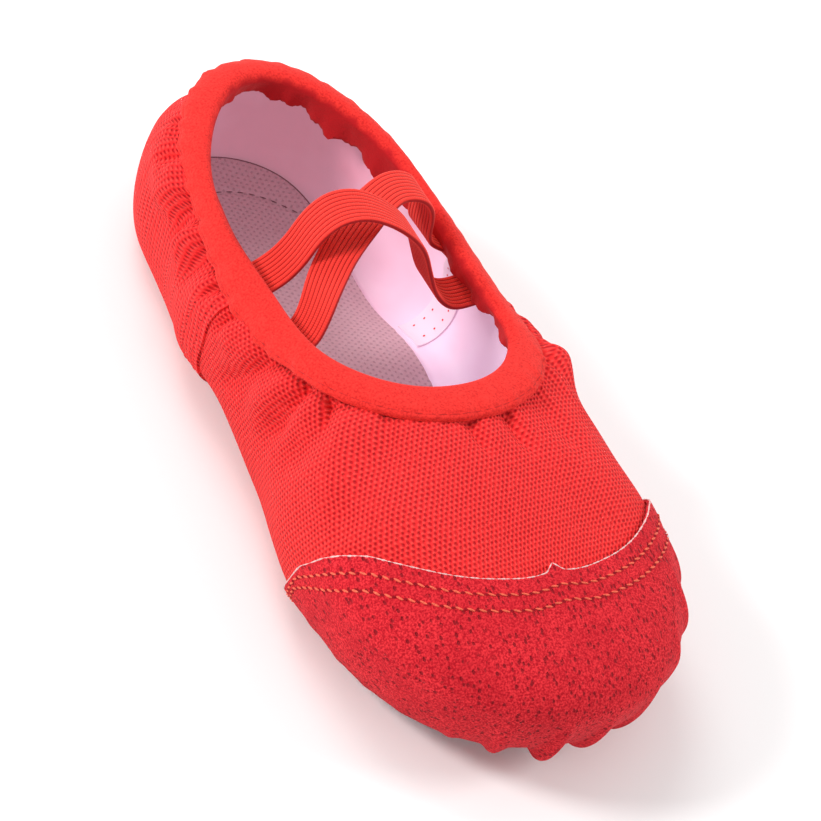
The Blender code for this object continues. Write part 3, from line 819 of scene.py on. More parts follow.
def cap_grids():
    """Outer and inner grid of the toe cap, each row from its top edge down to its tuck."""
    share = np.linspace(-1, 1, 24 * PLEATS + 1)[:, None]
    top = through(CAP_EDGE, "level", np.abs(share))
    lower = np.minimum(np.linspace(0, BULGE_LEVEL, 26), top)
    upper = lower[:, -1:] + (top - lower[:, -1:]) * np.linspace(0, 1, 25)[1:]
    level = np.concatenate([lower, upper], axis=1)[:, ::-1]
    angle = np.broadcast_to(math.pi + share * CAP_REACH, level.shape)
    draw_in = through(CAP_DRAW_IN, "depth", share) * (1 - smoothstep(0.12, 0.55, level))
    inward = plan_normal(angle) * draw_in[..., None]
    middle = np.array([FOREFOOT_PAD.middle, 0.0])
    spoke = (wall(angle[:, 0], 0.0) - inward[:, -1])[:, :2] - middle
    length = np.linalg.norm(spoke, axis=1, keepdims=True)
    reach = pad_reach(FOREFOOT_PAD, np.arctan2(spoke[:, 1], spoke[:, 0]))[:, None]
    radius = length + (reach - CAP_TUCK - length) * np.linspace(0, 1, 23)[1:]
    flat = middle + radius[..., None] * (spoke / length)[:, None]
    left_fade = 1 - 0.35 * smoothstep(0.70, 0.98, -share)
    right_fade = 1 - 0.92 * smoothstep(0.12, 0.50, share)
    ridge = PLEAT_DEPTH * pleat(share) * left_fade * right_fade
    at_feather = smoothstep(reach, reach + PLEAT_RUN, length)
    grow = at_feather + (1 - at_feather) * smoothstep(0.0, 0.06, level)
    fade_end = 0.36 + 0.26 * smoothstep(0.15, 0.55, -share)
    fold = CAP_STACK + ridge * grow * (1 - smoothstep(0.08, fade_end, level))
    crease = ridge * smoothstep(reach, reach + PLEAT_RUN, radius)
    under = bottom_height(flat[..., 0]) - CAP_STACK - crease
    under = np.maximum(under, toe_spring(flat[..., 0]) + GAP)
    outer = np.concatenate([skin(angle, level, fold) - inward, np.dstack([flat, under])], axis=1)
    inside = np.dstack([flat, under + CAP_THICKNESS])
    inner = np.concatenate([skin(angle, level, fold - CAP_THICKNESS) - inward, inside], axis=1)
    return outer, inner


def at_run(grid, run):
    """The points of a grid's rows that lie a given run from their first point."""
    return np.array([resample(row, run_lengths(row, 0), run) for row in grid])


def make_toe_cap(material, edge, thread, dark):
    """The suede toe cap with its pale raw edge and its two rows of stitches."""
    outer, inner = cap_grids()
    piece = add_mesh("suede_toe_cap", *thick_grid(outer, inner), material)
    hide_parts("toe_cap")
    line = outer[:, 0] * 0.85 + inner[:, 0] * 0.15
    add_mesh("cap_raw_edge", *tube_along(line, RAW_EDGE_RADIUS, RAW_EDGE_UNEVEN), edge)
    by_notch = bell(np.linspace(-1, 1, len(outer)), NOTCH_REACH)[:, None]
    for number, run in enumerate(CAP_STITCH_ROWS, 1):
        line = at_run(outer, run)
        line = line + (relaxed(line, 120) - line) * by_notch
        out = np.cross(np.gradient(line, axis=0), at_run(outer, run + 0.0004) - at_run(outer, run))
        out *= np.sign(np.sum(out * (line - TOE_INSIDE), axis=1, keepdims=True))
        line = line + CAP_STITCH_LIFT * unit(out)
        names = (f"cap_stitches_{number}", f"cap_stitch_holes_{number}")
        sew(names, line, out, CAP_HOLE, thread, dark, **CAP_STITCH)


def resample(values, run, places):
    """Values that go with the points of a line, read at given runs along it."""
    return np.stack([np.interp(places, run, values[:, i]) for i in range(values.shape[1])], axis=-1)


def relaxed(path, rounds):
    """A path with its small kinks smoothed out."""
    path = path.copy()
    for _ in range(rounds):
        path[1:-1] += 0.25 * (path[2:] + path[:-2] - 2 * path[1:-1])
    return path


def tube_along(line, radius, unevenness=0.0, sides=6):
    """Points and faces of a thin round edge that follows a line, with an uneven thickness."""
    heading = unit(np.gradient(line, axis=0))
    side = unit(np.cross(heading, [0.0, 0.0, 1.0]))
    rise = np.cross(side, heading)
    thick = radius + unevenness * waves(EDGE_UNEVEN, np.arange(len(line)))
    turn = np.linspace(0, 2 * math.pi, sides, endpoint=False)
    rings = [line + thick[:, None] * (math.cos(t) * side + math.sin(t) * rise) for t in turn]
    return np.stack(rings, axis=1), grid_faces(len(line), sides, close_columns=True)


def stitches(
    line, out, pitch=STITCH_PITCH, length=STITCH_LENGTH, radius=STITCH_RADIUS, lift=0.0, slant=0.0
):
    """Points and faces of a row of small rounded stitches along a line, on the side of out."""
    run = run_lengths(line, 0)
    middles = np.arange(0.5 * pitch, run[-1] - 0.5 * length, pitch)
    share = np.sin(np.linspace(-0.5, 0.5, 6) * math.pi)
    turn = np.linspace(0, 2 * math.pi, 6, endpoint=False)[:, None]
    spine = resample(line, run, middles[:, None] + share * length / 2)
    heading = unit(spine[:, -1] - spine[:, 0])
    up = unit(resample(unit(out), run, middles))
    side = np.cross(heading, up)
    thick = radius * np.sqrt(1 - 0.94 * share**2)
    round_up = lift + 0.8 * thick[:, None, None] * np.sin(turn)
    round_side = thick[:, None, None] * np.cos(turn)
    round_side = round_side + slant * length / 2 * share[:, None, None]
    points = spine[:, :, None] + up[:, None, None] * round_up + side[:, None, None] * round_side
    rows, sides = len(share), len(turn)
    one = grid_faces(rows, sides, close_columns=True)
    size = rows * sides
    one += [list(range(sides)), list(range(size - sides, size))]
    faces = [[first * size + i for i in face] for first in range(len(middles)) for face in one]
    return points, faces


def pin_holes(line, out, radius, pitch=STITCH_PITCH, lift=0.00006):
    """Points and faces of small flat discs between the stitches of a row: with a dark finish they
    are painted shade in needle holes.
    """
    run = run_lengths(line, 0)
    places = np.arange(pitch, run[-1] - 0.5 * pitch, pitch)
    turn = np.linspace(0, 2 * math.pi, 8, endpoint=False)[:, None]
    here = resample(line, run, places)
    heading = unit(resample(line, run, places + 0.0003) - here)
    up = unit(resample(unit(out), run, places))
    side = np.cross(heading, up)
    flat = np.cos(turn) * heading[:, None] + 0.8 * np.sin(turn) * side[:, None]
    points = (here + lift * up)[:, None] + radius * flat
    return points, np.arange(len(places) * len(turn)).reshape(-1, len(turn)).tolist()


def sew(names, line, out, hole, thread, dark, **stitch):
    """A row of stitches along a line, and its needle holes as dark discs of painted shade."""
    add_mesh(names[0], *stitches(line, out, **stitch), thread)
    add_mesh(names[1], *pin_holes(line, out, hole), dark)


def upright(line, height):
    """Straight up, or down for a negative height, at each point of a line."""
    return np.tile([0.0, 0.0, height], (len(line), 1))


def binding_sections(angles):
    """Sections of the binding: up the outside, over the collar edge and down to its frayed edge."""
    wave = gather_wave(angles)[:, None]
    run = collar_run(angles)[:, None]
    drawn_in = drawn("gather", angles)[:, None]
    turn_in = drawn("turn_in", angles)[:, None]
    fray = waves(FRAY_WAVES, run)
    wide = BINDING_OUTSIDE + 0.4 * drawn_in * wave
    outside = wide * np.linspace(1, 0, 15)[:-1]
    share = 1 - outside / wide
    sewn = bell(share - 0.14, 0.05)
    ripple = 0.8 * drawn_in * wave * (1 - share) ** 1.5
    swell = BINDING_SWELL * np.sin(math.pi * share) ** 0.8 - 0.00030 * sewn + ripple
    lip = np.minimum(1.0, 6.0 * share) ** 0.5
    outward = plan_normal(angles)[:, None]
    out = wall_normal(angles, 1.0)[:, None]
    up = unit(wall(angles, 1.0) - wall(angles, 1.0 - DERIVATIVE_STEP))[:, None]
    hang = unit(np.array([0.0, 0.0, -1.0]) + TURN_IN_LEAN * outward)
    last = np.arctan2(-np.sum(hang * out, axis=-1), np.sum(hang * up, axis=-1))
    fold = (last * np.linspace(0, 1, 13)[1:])[..., None]
    middle = skin(angles, np.ones_like(angles), -UPPER_WALL / 2)[:, None]
    radius = UPPER_WALL / 2 + GAP + BINDING_THICKNESS
    rolled = middle + radius * (np.cos(fold) * out + np.sin(fold) * up)
    along = np.linspace(0, 1, 10)[1:]
    flutter = 0.0007 * along * (0.4 + np.sin(run * 520 + 0.5) + 0.5 * wave)
    drop = (turn_in * (1 + fray) * along)[..., None]
    leg = rolled[:, -1:] + drop * hang + flutter[..., None] * outward
    levels = edge_levels(angles, outside)
    around = angles[:, None]
    return np.concatenate([
        skin(around, levels[:, :1], np.full_like(around, -0.5 * GAP)),
        skin(around, levels, GAP + BINDING_THICKNESS * (0.45 + 0.55 * lip) + swell),
        rolled,
        leg,
        leg[:, -1:] + 0.0005 * outward,
    ], axis=1)


def make_binding(material, thread):
    """The folded tape that binds the collar edge inside and out, sewn along its lower edge."""
    angles = np.linspace(0, 2 * math.pi, 481)
    sections = binding_sections(angles)
    around = np.repeat(run_lengths(collar_ring(angles), 0)[:, None], sections.shape[1], axis=1)
    weave = np.stack([run_lengths(sections, 1), around], axis=-1)
    faces = grid_faces(*sections.shape[:2])
    piece = add_mesh("binding_tape", sections, faces, material, weave, sharp=80)
    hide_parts("collar_binding")
    out = wall_normal(angles, edge_levels(angles, np.array([0.86 * BINDING_OUTSIDE]))[:, 0])
    add_mesh("binding_stitches", *stitches(sections[:, 3], out, **BINDING_STITCH), thread)


def smooth_path(points, count):
    """Points and directions along a smooth curve through given points."""
    run = run_lengths(points, 0)
    tangent = np.gradient(points, run, axis=0)
    at = np.linspace(0, run[-1], count)
    row = np.clip(np.searchsorted(run, at) - 1, 0, len(run) - 2)
    step = np.diff(run)[row][:, None]
    t = ((at - run[row])[:, None]) / step
    path = hermite(t, step, points[row], tangent[row], points[row + 1], tangent[row + 1])
    path = relaxed(path, 60)
    return path, unit(np.gradient(path, axis=0))


def strap_root(angle):
    """The point on the inner wall, below the binding, where an elastic is sewn in."""
    level = level_below_edge(angle, STRAP_ROOT_RUN)
    return skin(angle, level, -UPPER_WALL - STRAP_ROOT_GAP)


def wall_heading(angle):
    """Direction toward the toe along the inner wall where an elastic is sewn in."""
    level = level_below_edge(angle, BINDING_INSIDE)
    along = wall(angle + DERIVATIVE_STEP, level) - wall(angle - DERIVATIVE_STEP, level)
    return unit(along) * np.sign(along[0])


def ribbed_section():
    """Closed section of the elastic: places across it and heights of its rounded cords."""
    across = np.linspace(1, -1, 8 * STRAP_RIBS + 1)
    rib = np.abs(np.sin((across + 1) / 2 * STRAP_RIBS * math.pi)) ** 0.6
    top = STRAP_THICKNESS / 2 - RIB_DEPTH * (1 - rib)
    top = top * np.sqrt(1 - 0.75 * np.abs(across) ** 24)
    wide = np.concatenate([across, across[::-1]]) * STRAP_WIDTH / 2
    return wide, np.concatenate([top, -top[::-1]])


def make_strap(name, rows, ends, node, material):
    """A ribbed elastic, sewn in at both sides, in a slack arch over the opening."""
    points = np.array([strap_root(ends.right), *rows, strap_root(ends.left)])
    path, heading = smooth_path(points, 220)
    share = np.linspace(0, 1, len(path))[:, None]
    from_right, from_left = 1 - smoothstep(0.05, 0.3, share), smoothstep(0.7, 0.95, share)
    lengthwise = np.array([1.0, 0.0, 0.0]) * (1 - from_right - from_left)
    for near, angle in ((from_right, ends.right), (from_left, ends.left)):
        lengthwise = lengthwise + near * wall_heading(angle)
    across = unit(lengthwise - heading * np.sum(heading * lengthwise, axis=1, keepdims=True))
    lift = np.cross(across, heading)
    wide, thick = ribbed_section()
    sections = path[:, None] + across[:, None] * wide[:, None] + lift[:, None] * thick[:, None]
    weave = np.stack(np.broadcast_arrays(wide[None, :], run_lengths(path, 0)[:, None]), axis=-1)
    faces = grid_faces(*sections.shape[:2], close_columns=True)
    faces.append(list(range(len(wide))))
    faces.append([(len(path) - 1) * len(wide) + i for i in range(len(wide))])
    piece = add_mesh(name, sections, faces, material, weave)
    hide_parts(node)


def insole_edge():
    """The insole's outline, closed round the foot: it climbs the wall at the heel."""
    angles = np.linspace(0, 2 * math.pi, 440, endpoint=False)
    feather = wall(angles, 0.0)
    level = 0.05 + 0.10 * (1 - smoothstep(-0.064, -0.030, feather[:, 0]))
    edge = skin(angles, level, -INSOLE_INSET - lining_rise(feather[:, 0]))
    limit = INSOLE_WAIST + 0.020 * smoothstep(0.0, 0.030, edge[:, 0])
    edge[:, 1] /= (1 + np.abs(edge[:, 1] / limit) ** 8) ** (1 / 8)
    flat = bottom_height(edge[:, 0]) + lining_rise(edge[:, 0]) + GAP + 0.6 * INSOLE_THICKNESS
    edge[:, 2] = np.maximum(edge[:, 2], flat)
    return edge


def insole_top(x, y, edge):
    """Height of the insole's upper face: flat in the middle, and turned up to its edge."""
    flat = bottom_height(x) + lining_rise(x) + GAP + INSOLE_THICKNESS
    gaps = np.hypot(x[..., None] - edge[:, 0], y[..., None] - edge[:, 1])
    near = np.argmin(gaps, axis=-1)
    bowl = (1 - smoothstep(0.0, 0.009, gaps.min(axis=-1))) ** 2
    rise = insole_seam(y + DERIVATIVE_STEP) - insole_seam(y - DERIVATIVE_STEP)
    across = (x - insole_seam(y)) / np.hypot(1, rise / (2 * DERIVATIVE_STEP))
    groove = 0.0005 * bell(across, 0.0006)
    border = 0.0005 * smoothstep(0.0004, -0.0004, across)
    return flat + (edge[near, 2] - flat) * bowl + border * (1 - bowl) - groove


def insole_seam(y):
    """Where the border of the insole is sewn round the heel, across the foot."""
    return -0.0770 + 20.0 * y**2 + 57000 * y**4


def make_insole(material, thread):
    """The insole, from wall to wall, with the curved seam round its heel."""
    edge = insole_edge()
    half = edge[: len(edge) // 2 + 1]
    across = np.sin(np.linspace(1, -1, 101) * math.pi / 2)
    rows = np.linspace(0, 1, 260)
    order = np.argsort(half[:, 0])
    back, front = half[order[0], 0], half[order[-1], 0]
    x = back + (front - back) * (1 - np.cos(math.pi * rows)) / 2
    y = np.interp(x, half[order, 0], half[order, 1])[:, None] * across
    x = np.repeat(x[:, None], len(across), axis=1)
    top = insole_top(x, y, edge)
    over = np.stack([x, y, top], axis=-1)
    under = np.stack([x, y, top - 0.7 * INSOLE_THICKNESS], axis=-1)
    points, faces = thick_grid(over, under)
    piece = add_mesh("insole_sock", points, faces, material, points[:, :2])
    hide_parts("insole")
    # Painted shade: a thin dark tube along the insole's heel edge, where shade falls between insole
    # and lining
    rim = np.column_stack([edge[:, :2], insole_top(edge[:, 0], edge[:, 1], edge)])
    rim = np.roll(rim, len(rim) // 2, axis=0)
    rim = rim[rim[:, 0] < INSOLE_SHADE_LINE_X]
    add_mesh("insole_heel_shade_line", *tube_along(rim, INSOLE_SHADE_LINE_RADIUS), thread)
    reach = np.linspace(-INSOLE_SEAM_REACH, INSOLE_SEAM_REACH, 90)
    seam = insole_seam(reach)
    path = np.stack([seam, reach, insole_top(seam, reach, edge) + 0.0001], axis=-1)
    add_mesh("insole_stitches", *stitches(path, upright(path, 1.0), **INSOLE_STITCH), thread)


def make_pad(name, pad, trim, node, material, thread, dark):
    """A suede sole pad with soft cut edges and a double row of white stitches."""

    def ring_at(inset, height):
        outline = teardrop(pad, trim + inset, PAD_POINTS)
        return np.column_stack([outline, toe_spring(outline[:, 0]) + height])

    over = [ring_at(inset, rise * PAD_THICKNESS) for inset, rise in PAD_UPPER_RINGS]
    under = [ring_at(inset, PAD_CLEAR + rise * PAD_THICKNESS) for inset, rise in PAD_LOWER_RINGS]
    middle = np.array([pad.middle, 0])
    rim = under[-1][:, :2] - middle
    for share in np.linspace(0, 1, 20)[1:]:
        outline = middle + rim * (1 - share)
        under.append(np.column_stack([outline, toe_spring(outline[:, 0]) + PAD_CLEAR]))
    sections = np.array(over + under)
    faces = grid_faces(*sections.shape[:2], close_columns=True)
    faces.append(list(range(PAD_POINTS)))
    piece = add_mesh(name, sections, faces, material)
    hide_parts(node)
    for number, inset in enumerate(PAD_STITCH_ROWS, 1):
        line = ring_at(inset, PAD_CLEAR)
        line = np.concatenate([line, line[:1]])
        names = (f"{name}_stitches_{number}", f"{name}_holes_{number}")
        sew(names, line, upright(line, -1.0), PAD_HOLE, thread, dark)


def make_seam(side, sign, thread, dark):
    """The rows of stitches along a side seam, from the sole to the binding."""
    column = np.linspace(1, 0, 200)
    for number, behind in enumerate(SEAM_STITCH_ROWS, 1):
        angle = sign * (SEAM_ANGLE - behind)
        levels = np.linspace(0.0, level_below_edge(angle, 1.08 * BINDING_OUTSIDE), 80)
        run = run_lengths(wall(angle, column), 0)
        down = np.interp(levels[::-1], column[::-1], run[::-1])[::-1]
        angles = np.full_like(levels, angle)
        line = skin(angles, levels, lap_relief(angles, levels, down))
        names = (f"seam_stitches_{side}_{number}", f"seam_holes_{side}_{number}")
        sew(names, line, wall_normal(angles, levels), SEAM_HOLE, thread, dark)


def make_seam_tape(side, sign, tape, dot):
    """The pale tape that covers a side seam inside, with its pin stitches."""
    across = sign * (SEAM_ANGLE - np.linspace(0.0, SEAM_TAPE_WIDTH, 9))
    upward = np.linspace(0.0, SEAM_TAPE_TOP, 60)
    angle, level = np.meshgrid(across, upward, indexing="ij")
    relief = lining_relief(angle, level, BINDING_OUTSIDE + 0.02 * (1 - level))
    grid = skin(angle, level, relief - SEAM_TAPE_THICKNESS)
    add_mesh(f"seam_tape_{side}", *thick_grid(grid, skin(angle, level, relief)), tape)
    for number, row in enumerate(SEAM_TAPE_DOT_ROWS, 1):
        out = -wall_normal(angle[row], level[row])
        dots = pin_holes(grid[row], out, **TAPE_DOT)
        add_mesh(f"seam_tape_dots_{side}_{number}", *dots, dot)


def make_sole_seam(thread, dark):
    """The rows of stitches along the sole, from one pad to the other."""
    back = HEEL_PAD.middle + HEEL_PAD.length / 2 - 0.001
    x = np.linspace(back, FOREFOOT_PAD.middle - FOREFOOT_PAD.length / 2, 60)
    lap_start, lap_end = wall(np.array([0.7, 1.0]) * SEAM_ANGLE, 0.0)[:, 0]
    lap = SEAM_STEP * smoothstep(lap_start, lap_end, x) * (x < lap_end)
    for number, y in enumerate(SOLE_SEAM_ROWS, 1):
        line = np.stack([x, np.full_like(x, y), bottom_height(x) - lap], axis=-1)
        names = (f"sole_seam_stitches_{number}", f"sole_seam_holes_{number}")
        sew(names, line, upright(line, -1.0), SOLE_SEAM_HOLE, thread, dark)


class Finish:
    """A Principled material under construction, with short ways to add its nodes."""

    def __init__(self, name, colour, roughness):
        self.material = bpy.data.materials.new(name)
        self.material.use_nodes = True
        self.nodes = self.material.node_tree.nodes
        self.links = self.material.node_tree.links
        self.surface = self.nodes["Principled BSDF"]
        self.surface.inputs["Base Color"].default_value = (*colour, 1.0)
        self.surface.inputs["Roughness"].default_value = roughness
        self.surface.inputs["Specular IOR Level"].default_value = 0.25
        self.place = self.nodes.new("ShaderNodeTexCoord").outputs["Object"]

    def feed(self, socket, value):
        if isinstance(value, bpy.types.NodeSocket):
            self.links.new(value, socket)
        else:
            socket.default_value = value

    def times(self, first, second):
        return self.math("MULTIPLY", first, second)

    def math(self, operation, first, second=0.0):
        node = self.nodes.new("ShaderNodeMath")
        node.operation = operation
        self.feed(node.inputs[0], first)
        self.feed(node.inputs[1], second)
        return node.outputs[0]

    def weave(self):
        """The two cloth coordinates of the surface, in metres."""
        layer = self.nodes.new("ShaderNodeUVMap")
        layer.uv_map = "weave"
        split = self.nodes.new("ShaderNodeSeparateXYZ")
        self.links.new(layer.outputs[0], split.inputs[0])
        return split.outputs[0], split.outputs[1]

    def axis(self, name):
        """One coordinate of the surface in the shoe's own frame, in metres."""
        split = self.nodes.new("ShaderNodeSeparateXYZ")
        self.links.new(self.place, split.inputs[0])
        return split.outputs[name]

    def noise(self, size, detail=3.0):
        node = self.nodes.new("ShaderNodeTexNoise")
        self.links.new(self.place, node.inputs["Vector"])
        node.inputs["Scale"].default_value = 1 / size
        node.inputs["Detail"].default_value = detail
        return node.outputs[0]

    def pores(self, size, shrink):
        """Distance to points scattered in cells of a given size, drawn out where they shrink."""
        drawn_out = self.nodes.new("ShaderNodeVectorMath")
        drawn_out.operation = "MULTIPLY"
        self.links.new(self.place, drawn_out.inputs[0])
        drawn_out.inputs[1].default_value = shrink
        node = self.nodes.new("ShaderNodeTexVoronoi")
        self.links.new(drawn_out.outputs[0], node.inputs["Vector"])
        node.inputs["Scale"].default_value = 1 / size
        return node.outputs["Distance"]

    def ramp(self, value, low, high):
        """0 where the value is at low, 1 where it is at high, and even between them."""
        node = self.nodes.new("ShaderNodeMapRange")
        self.feed(node.inputs["Value"], value)
        node.inputs["From Min"].default_value = low
        node.inputs["From Max"].default_value = high
        return node.outputs[0]

    def mix(self, share, first, second):
        node = self.nodes.new("ShaderNodeMix")
        node.data_type = "RGBA"
        self.feed(node.inputs[0], share)
        for socket, colour in ((node.inputs[6], first), (node.inputs[7], second)):
            linked = isinstance(colour, bpy.types.NodeSocket)
            self.feed(socket, colour if linked else (*colour, 1.0))
        return node.outputs[2]

    def colour(self, value):
        self.links.new(value, self.surface.inputs["Base Color"])

    def bump(self, height, depth):
        """Adds relief of a given depth in metres to the surface, on top of any before it."""
        node = self.nodes.new("ShaderNodeBump")
        node.inputs["Distance"].default_value = depth
        self.links.new(height, node.inputs["Height"])
        normal = self.surface.inputs["Normal"]
        if normal.is_linked:
            self.links.new(normal.links[0].from_socket, node.inputs["Normal"])
        self.links.new(node.outputs[0], normal)

    def painted_glow(self, colour, strength):
        """Painted light: the surface glows a little, as if light came through thin cloth, though it
        is no lamp.
        """
        self.surface.inputs["Emission Color"].default_value = (*colour, 1.0)
        self.surface.inputs["Emission Strength"].default_value = strength

    def sheen(self, weight, tint):
        self.surface.inputs["Sheen Weight"].default_value = weight
        self.surface.inputs["Sheen Roughness"].default_value = 0.45
        self.surface.inputs["Sheen Tint"].default_value = (*tint, 1.0)


def plain_weave(finish, thread, row, wobble):
    """Height of a plain weave: 2.6 on its staggered grains, -2.6 in the pits between them."""
    across, along = finish.weave()
    stray = finish.times(finish.math("SUBTRACT", finish.noise(0.0020, 2.0), 0.5), wobble)
    threads = finish.math("ADD", finish.times(across, math.pi / thread), stray)
    rows = finish.math("ADD", finish.times(along, math.pi / row), stray)
    crossing = finish.times(finish.math("COSINE", threads), finish.math("COSINE", rows))
    ridge = finish.math("SINE", finish.times(rows, 2.0))
    return finish.math("ADD", finish.times(crossing, 2.0), ridge)


def canvas_finish():
    """Canvas of mid red, with painted highlights on its grains and painted shade in the pits
    between them.
    """
    finish = Finish("red_canvas", CANVAS_RED, 0.90)
    weave = plain_weave(finish, THREAD_PITCH, ROW_PITCH, 2.4)
    uneven = finish.ramp(finish.noise(0.0013, 2.0), 0.30, 0.70)
    thread = finish.mix(finish.times(uneven, 0.4), CANVAS_RED, TAPE_DEEP)
    # Painted highlight: the tops of the grains are lightened, as where light falls on them
    thread = finish.mix(finish.ramp(weave, 0.0, 2.0), thread, CANVAS_GRAIN_HIGHLIGHT)
    some = finish.ramp(finish.noise(0.0022, 1.0), 0.05, 0.50)
    # Painted shade: the pits between the grains are darkened, as where shade falls in them
    pit_shade = finish.times(finish.ramp(weave, 0.0, -2.2), some)
    finish.colour(finish.mix(pit_shade, thread, CANVAS_PIT_SHADE))
    finish.bump(finish.ramp(weave, -2.6, 2.6), 0.00050)
    finish.bump(finish.noise(0.0005), 0.00008)
    finish.sheen(0.08, (1.0, 0.45, 0.40))
    return finish.material


def suede_finish():
    """Napped suede with short open pores, darkened with painted shade."""
    finish = Finish("red_suede", SUEDE_RED, 0.95)
    nap = finish.ramp(finish.noise(0.0004, 6.0), 0.40, 0.62)
    cloud = finish.ramp(finish.noise(0.010, 2.0), 0.30, 0.70)
    base = finish.mix(nap, SUEDE_RED, SUEDE_LIGHT)
    base = finish.mix(finish.times(cloud, 0.40), base, SUEDE_RED)
    pore = finish.ramp(finish.pores(0.0012, (0.55, 1.25, 1.0)), 0.16, 0.30)
    few = finish.ramp(finish.noise(0.0026, 1.0), 0.58, 0.74)
    open_pore = finish.math("MAXIMUM", pore, few)
    # Painted shade: the open pores are darkened, as where shade falls in them
    finish.colour(finish.mix(open_pore, SUEDE_HOLE_SHADE, base))
    finish.bump(open_pore, 0.00030)
    finish.bump(finish.noise(0.0007, 5.0), 0.00022)
    finish.sheen(0.06, (1.0, 0.30, 0.30))
    return finish.material


def tape_finish():
    """Tape with a fine fuzzy grain, and painted shade where it is turned in inside the collar."""
    finish = Finish("red_tape", TAPE_RED, 0.92)
    grain = finish.ramp(finish.noise(0.00045, 3.0), 0.32, 0.60)
    outside = finish.mix(grain, TAPE_DEEP, TAPE_RED)
    # Painted shade: the turned-in leg inside the collar is darkened, as where it hangs in shade
    turned = finish.ramp(finish.weave()[0], 0.0112, 0.0126)
    finish.colour(finish.mix(turned, outside, TURN_IN_SHADE))
    finish.bump(finish.noise(0.00045, 3.0), 0.00009)
    finish.bump(finish.noise(0.0030), 0.00022)
    finish.sheen(0.12, (1.0, 0.50, 0.42))
    return finish.material


def elastic_finish():
    """Elastic of cords side by side, with painted shade between them, and fine picks across."""
    finish = Finish("red_elastic", ELASTIC_RED, 0.70)
    across, along = finish.weave()
    inside = finish.math("ADD", across, STRAP_WIDTH / 2)
    cords = finish.times(inside, STRAP_RIBS * math.pi / STRAP_WIDTH)
    rib = finish.math("ABSOLUTE", finish.math("SINE", cords))
    picks = finish.times(along, math.pi / PICK_PITCH)
    pick = finish.math("ABSOLUTE", finish.math("SINE", picks))
    # Painted shade: the grooves between the cords are darkened, as where shade falls in them
    finish.colour(finish.mix(finish.ramp(rib, 0.05, 0.50), ELASTIC_GROOVE_SHADE, ELASTIC_RED))
    finish.bump(finish.times(rib, pick), 0.00010)
    finish.sheen(0.20, (1.0, 0.50, 0.40))
    return finish.material


def lining_finish():
    """Smooth thin lining, with painted shade toward the heel and a painted glow, as of light
    through it.
    """
    finish = Finish("pink_lining", LINING_FRONT, 0.42)
    cloud = finish.times(finish.math("SUBTRACT", finish.noise(0.016, 2.0), 0.5), 0.5)
    # Painted shade: the lining darkens toward the heel, where the heel quarter shades it
    along = finish.ramp(finish.axis("X"), -0.078, -0.010)
    finish.colour(finish.mix(finish.math("ADD", along, cloud), LINING_HEEL_SHADE, LINING_FRONT))
    finish.bump(finish.noise(0.0005), 0.00003)
    finish.bump(finish.noise(0.009, 1.0), 0.0006)
    finish.sheen(0.15, (1.0, 0.85, 0.95))
    # Painted light: the lining glows a little, though it is no lamp
    finish.painted_glow(LINING_FRONT, 0.16)
    return finish.material


def insole_finish():
    finish = Finish("insole_mesh", INSOLE_PINK, 0.85)
    pit_shade = finish.ramp(plain_weave(finish, 0.00070, 0.00120, 1.4), 0.6, 2.3)
    cloud = finish.ramp(finish.noise(0.0008, 4.0), 0.30, 0.70)
    base = finish.mix(finish.times(cloud, 0.35), INSOLE_PINK, INSOLE_MOTTLE_AND_DIMPLE_SHADE)
    # Painted shade: the dimples of the mesh are darkened, as where shade falls in them
    finish.colour(finish.mix(pit_shade, base, INSOLE_MOTTLE_AND_DIMPLE_SHADE))
    finish.bump(finish.math("SUBTRACT", 1.0, pit_shade), 0.00014)
    finish.bump(finish.noise(0.0005), 0.00006)
    # Painted light: the insole glows a little, though it is no lamp
    finish.painted_glow(INSOLE_PINK, 0.05)
    return finish.material


def pad_finish():
    finish = Finish("sole_suede", PAD_GREY, 0.95)
    nap = finish.ramp(finish.noise(0.0007, 4.0), 0.25, 0.75)
    cloud = finish.ramp(finish.noise(0.008, 3.0), 0.35, 0.70)
    base = finish.mix(nap, PAD_DARK, PAD_LIGHT)
    finish.colour(finish.mix(finish.times(cloud, 0.6), PAD_GREY, base))
    finish.bump(finish.noise(0.0006, 4.0), 0.00012)
    finish.sheen(0.30, (0.95, 0.98, 1.0))
    return finish.material


def thread_finish(name, colour, roughness=0.6):
    """Twisted thread, or any small plain fleck."""
    finish = Finish(name, colour, roughness)
    twist = finish.noise(0.0003, 2.0)
    darker = tuple(0.6 * c for c in colour)
    finish.colour(finish.mix(finish.ramp(twist, 0.35, 0.65), darker, colour))
    finish.bump(twist, 0.00005)
    return finish.material


def make_floor():
    finish = Finish("pale_floor", FLOOR_WHITE, 0.9)
    signs = ((-1, -1), (1, -1), (1, 1), (-1, 1))
    corners = [(x * FLOOR_HALF, y * FLOOR_HALF, -FLOOR_DROP) for x, y in signs]
    mesh = bpy.data.meshes.new("floor")
    mesh.from_pydata(corners, [], [(0, 1, 2, 3)])
    mesh.materials.append(finish.material)
    floor = bpy.data.objects.new("floor", mesh)
    bpy.context.scene.collection.objects.link(floor)


def add_light(name, place, size, power):
    lamp = bpy.data.lights.new(name, "AREA")
    lamp.shape = "DISK"
    lamp.size = size
    lamp.energy = power
    light = bpy.data.objects.new(name, lamp)
    light.location = place
    light.rotation_euler = (LIGHT_AIM - light.location).to_track_quat("-Z", "Y").to_euler()
    bpy.context.scene.collection.objects.link(light)


def make_studio():
    """Soft light from both sides and above, and a pale surround."""
    world = bpy.data.worlds.new("studio")
    world.use_nodes = True
    surround = world.node_tree.nodes["Background"]
    surround.inputs["Color"].default_value = (1.0, 1.0, 1.0, 1.0)
    surround.inputs["Strength"].default_value = SURROUND
    bpy.context.scene.world = world
    for light in LIGHTS:
        add_light(*light)
    bpy.context.scene.view_settings.view_transform = "Standard"


